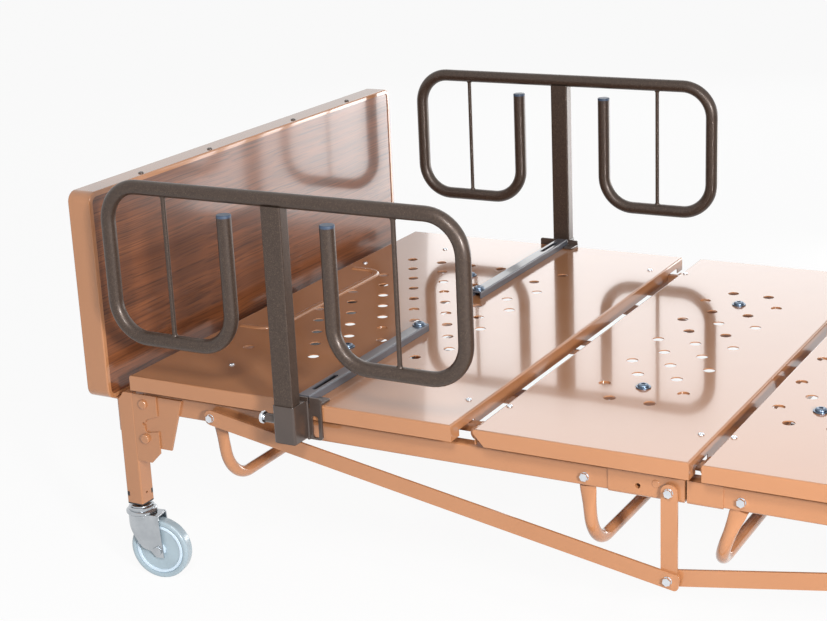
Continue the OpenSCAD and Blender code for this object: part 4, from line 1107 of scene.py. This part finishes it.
def makeLegs():
    # drawn at the head end on the near side, where x is -leg x and y is -leg y
    x, y, half = -leg["x"], -leg["y"], leg["side"] / 2
    tube = addBox("legTubes", (x - half, y - half, deckTop + leg["low"]),
                  (x + half, y + half, deckTop + leg["top"]))
    roundEdges(tube, runsZ, leg["corner"], 4)
    startEdit(tube)
    selectAll()
    bpy.ops.mesh.bisect(plane_co=(x - half, y, deckTop + leg["top"] - 0.018), plane_no=(-0.77, 0, 0.64),
                        clear_outer=True, use_fill=True)
    endEdit()
    pushFace(tube, lambda c, n: n.z < -0.9, leg["wall"], -0.05)
    cuts = []
    middle, tall = deckTop + leg["windowZ"], leg["window"] / 2
    for s in (-1, 1):
        cuts.append(addBox("window", (x + s * half - 0.007, y + s * half - 0.007, middle - tall),
                           (x + s * half + 0.007, y + s * half + 0.007, middle + tall)))
    cuts.append(addRod("screwHole", (x + half - 0.004, y - 0.002, middle + 0.002),
                       (x + half + 0.01, y - 0.002, middle + 0.002), 0.0024, 20))
    cutWith(tube, *cuts)
    edge, tip, front = x + half, leg["tip"], y - half + 0.0002
    plate = addBox("bracket", (edge - 0.0004, front, deckTop - leg["bracketLow"]),
                   (tip, front + leg["bracket"], deckTop + leg["top"]))
    roundEdges(plate, lambda c, d: abs(d.y) > 0.9 and c.z < deckTop - 0.1 and c.x > -1.0, 0.021, 1)
    hook = addBox("hook", (leg["hookX"], y - 0.1, deckTop - leg["hookZ"][0]),
                  (tip + 0.02, y + 0.1, deckTop - leg["hookZ"][1]))
    startEdit(hook)
    choose("VERT", lambda c, n: c.x > -1.0 and c.z > deckTop - 0.1)
    bpy.ops.transform.translate(value=(0, 0, 0.02))
    choose("VERT", lambda c, n: c.x > -1.0 and c.z < deckTop - 0.1)
    bpy.ops.transform.translate(value=(0, 0, 0.01))
    endEdit()
    roundEdges(hook, lambda c, d: abs(d.y) > 0.9 and c.x < -1.0, 0.009, 4)
    cutWith(plate, hook)
    roundEdges(plate, lambda c, d: abs(d.y) < 0.1 and c.x > edge + 0.001, 0.0006, 2)
    cutWith(plate, addRod("weep", (leg["weepX"], y - half - 0.01, deckTop - leg["weepZ"]),
                          (leg["weepX"], y - half + 0.01, deckTop - leg["weepZ"]), 0.003, 20))
    one = joinPieces("legTubes", [tube, plate])
    finishPiece(atCorners("legTubes", one), *tanFrame, "leg_tubes")


gusset = {"x": (-1.019, -0.922), "z": (0.144, 0.044), "y": 0.5062, "sheet": 0.005, "slope": 0.031,
          "studX": 1.006, "studY": 0.515, "studs": ((-0.06, 0.0042), (-0.126, 0.0062))}


def makeGussets():
    y = -gusset["y"]
    plate = addBox("endGussets", (gusset["x"][0], y - gusset["sheet"], deckTop - gusset["z"][0]),
                   (gusset["x"][1], y, deckTop - gusset["z"][1]))
    startEdit(plate)
    choose("VERT", lambda c, n: c.x > -0.93 and c.z < deckTop - 0.1)
    bpy.ops.transform.translate(value=(-gusset["slope"], 0, 0))
    endEdit()
    roundEdges(plate, notY, 0.0007, 2)
    parts = [plate]
    x, seat = -gusset["studX"], -gusset["studY"]
    for drop, dome in gusset["studs"]:
        z = deckTop + drop
        neck = addRod("neck", (x, y - 0.004, z), (x, seat, z), 0.005, 24)
        stud = addRod("stud", (x, seat, z), (x, seat - dome, z), 0.009, 36)
        roundEdges(stud, lambda c, d: c.y < seat - dome + 0.0005, 0.0028, 5)
        parts += [neck, stud]
    one = joinPieces("endGussets", parts)
    finishPiece(atCorners("endGussets", one), *tanFrame, "end_gussets")


makeLegs()
makeGussets()
print("legs and end plates made")

# Pieces whose solids are already the right shape: merged copies with softened edges
softEdge = {"width": 0.0006, "steps": 2, "corner": 40, "plugY": 0.504}


def softenNode(node):
    solid = frame["nodes"][node]
    piece = bpy.data.objects.new("soft_" + node, solid.data.copy())
    bpy.context.collection.objects.link(piece)
    startEdit(piece)
    selectAll()
    bpy.ops.mesh.remove_doubles(threshold=0.00001)
    bpy.ops.mesh.dissolve_limited(angle_limit=math.radians(0.5))
    if node == "seat_supports":  # its tubes are plugged where they lie on the rails, out of sight
        for side in (-1, 1):
            selectAll()
            bpy.ops.mesh.bisect(plane_co=(0, side * softEdge["plugY"], 0), plane_no=(0, side, 0),
                                clear_outer=True, use_fill=True)
    endEdit()
    addModifier(piece, "BEVEL", width=softEdge["width"], segments=softEdge["steps"],
                limit_method="ANGLE", angle_limit=math.radians(softEdge["corner"]))
    finishPiece(piece, slotLook[slotOf[node]], bodyOf[node], slotOf[node], node)


plainNodes = [node for node in frame["nodes"] if not frame["nodes"][node].hide_render]
for node in plainNodes:
    softenNode(node)
print("softened copies:", len(plainNodes))

# Camera at the photograph's angle
shot = {"place": (0.861, -2.801, 1.414), "yaw": 29.55, "pitch": -17.33, "roll": -2.61, "lens": 74.48}
camera = bpy.data.objects.new("camera", bpy.data.cameras.new("camera"))
bpy.context.collection.objects.link(camera)
camera.data.lens = shot["lens"]
camera.data.sensor_width = 36
camera.data.sensor_fit = "HORIZONTAL"
camera.matrix_world = (Matrix.Translation(shot["place"])
                       @ Matrix.Rotation(math.radians(shot["yaw"]), 4, "Z")
                       @ Matrix.Rotation(math.radians(90 + shot["pitch"]), 4, "X")
                       @ Matrix.Rotation(math.radians(shot["roll"]), 4, "Z"))
bpy.context.scene.camera = camera


# Light: white all round for the eye and for reflections, softer for the shading
room = {"sky": 0.25, "floorWhite": 0.93, "floorSize": 40}


def whiteForEyes(tree):
    # 1 for camera, glossy and transmission rays, 0 for the rest
    path = addNode(tree, "LightPath")
    first = addNode(tree, "Math", {"operation": "MAXIMUM"},
                    {0: path.outputs["Is Camera Ray"], 1: path.outputs["Is Glossy Ray"]})
    return addNode(tree, "Math", {"operation": "MAXIMUM"},
                   {0: first.outputs[0], 1: path.outputs["Is Transmission Ray"]}).outputs[0]


world = bpy.data.worlds.new("studio")
world.use_nodes = True
bpy.context.scene.world = world
worldTree = world.node_tree
worldTree.nodes.clear()
skyLevel = addNode(worldTree, "MapRange", {"To Min": room["sky"], "To Max": 1.0},
                   {"Value": whiteForEyes(worldTree)})
sky = addNode(worldTree, "Background", {"Color": (1, 1, 1, 1)}, {"Strength": skyLevel.outputs[0]})
addNode(worldTree, "OutputWorld", links={"Surface": sky.outputs[0]})

clearSelection()
bpy.ops.mesh.primitive_plane_add(size=room["floorSize"], location=(0, 0, 0))
floor = settle("floor")
floorLook, floorTree = startMaterial("pale studio floor")[:2]
matt = addNode(floorTree, "BsdfDiffuse", {"Color": (0.9, 0.9, 0.9, 1)})
glow = addNode(floorTree, "Emission", {"Color": (1, 1, 1, 1), "Strength": 1.0})
share = addNode(floorTree, "MapRange", {"To Max": room["floorWhite"]}, {"Value": whiteForEyes(floorTree)})
endMaterial(floorTree, addNode(floorTree, "MixShader", links={0: share.outputs[0], 1: matt.outputs[0],
                                                              2: glow.outputs[0]}))
floor.data.materials.append(floorLook)


def addSoftbox(name, spot, target, width, height, watts):
    lamp = bpy.data.objects.new(name, bpy.data.lights.new(name, "AREA"))
    bpy.context.collection.objects.link(lamp)
    lamp.data.shape = "RECTANGLE"
    lamp.data.size = width
    lamp.data.size_y = height
    lamp.data.energy = watts
    lamp.location = spot
    lamp.rotation_mode = "QUATERNION"
    lamp.rotation_quaternion = (Vector(target) - Vector(spot)).to_track_quat("-Z", "Y")
    lamp.visible_camera = False


addSoftbox("rightKey", (2.3, -2.6, 1.55), (-0.2, -0.5, 0.4), 0.45, 0.45, 128)
addSoftbox("frontKey", (0.3, -2.2, 2.1), (-0.2, -0.4, 0.4), 0.5, 0.5, 30)
addSoftbox("farBox", (-1.75, 4.4, 2.0), (-0.3, 0, 0.5), 2.5, 2.4, 27)
addSoftbox("boardBox", (0.05, 2.0, 0.25), (-1.067, 0.2, 0.6), 0.9, 0.45, 6)
addSoftbox("lowBox", (1.1, 3.4, 0.45), (-1.0, 0.2, 0.6), 1.5, 0.8, 14)
print("camera and light set")

scene = bpy.context.scene
scene.view_settings.view_transform = "Standard"
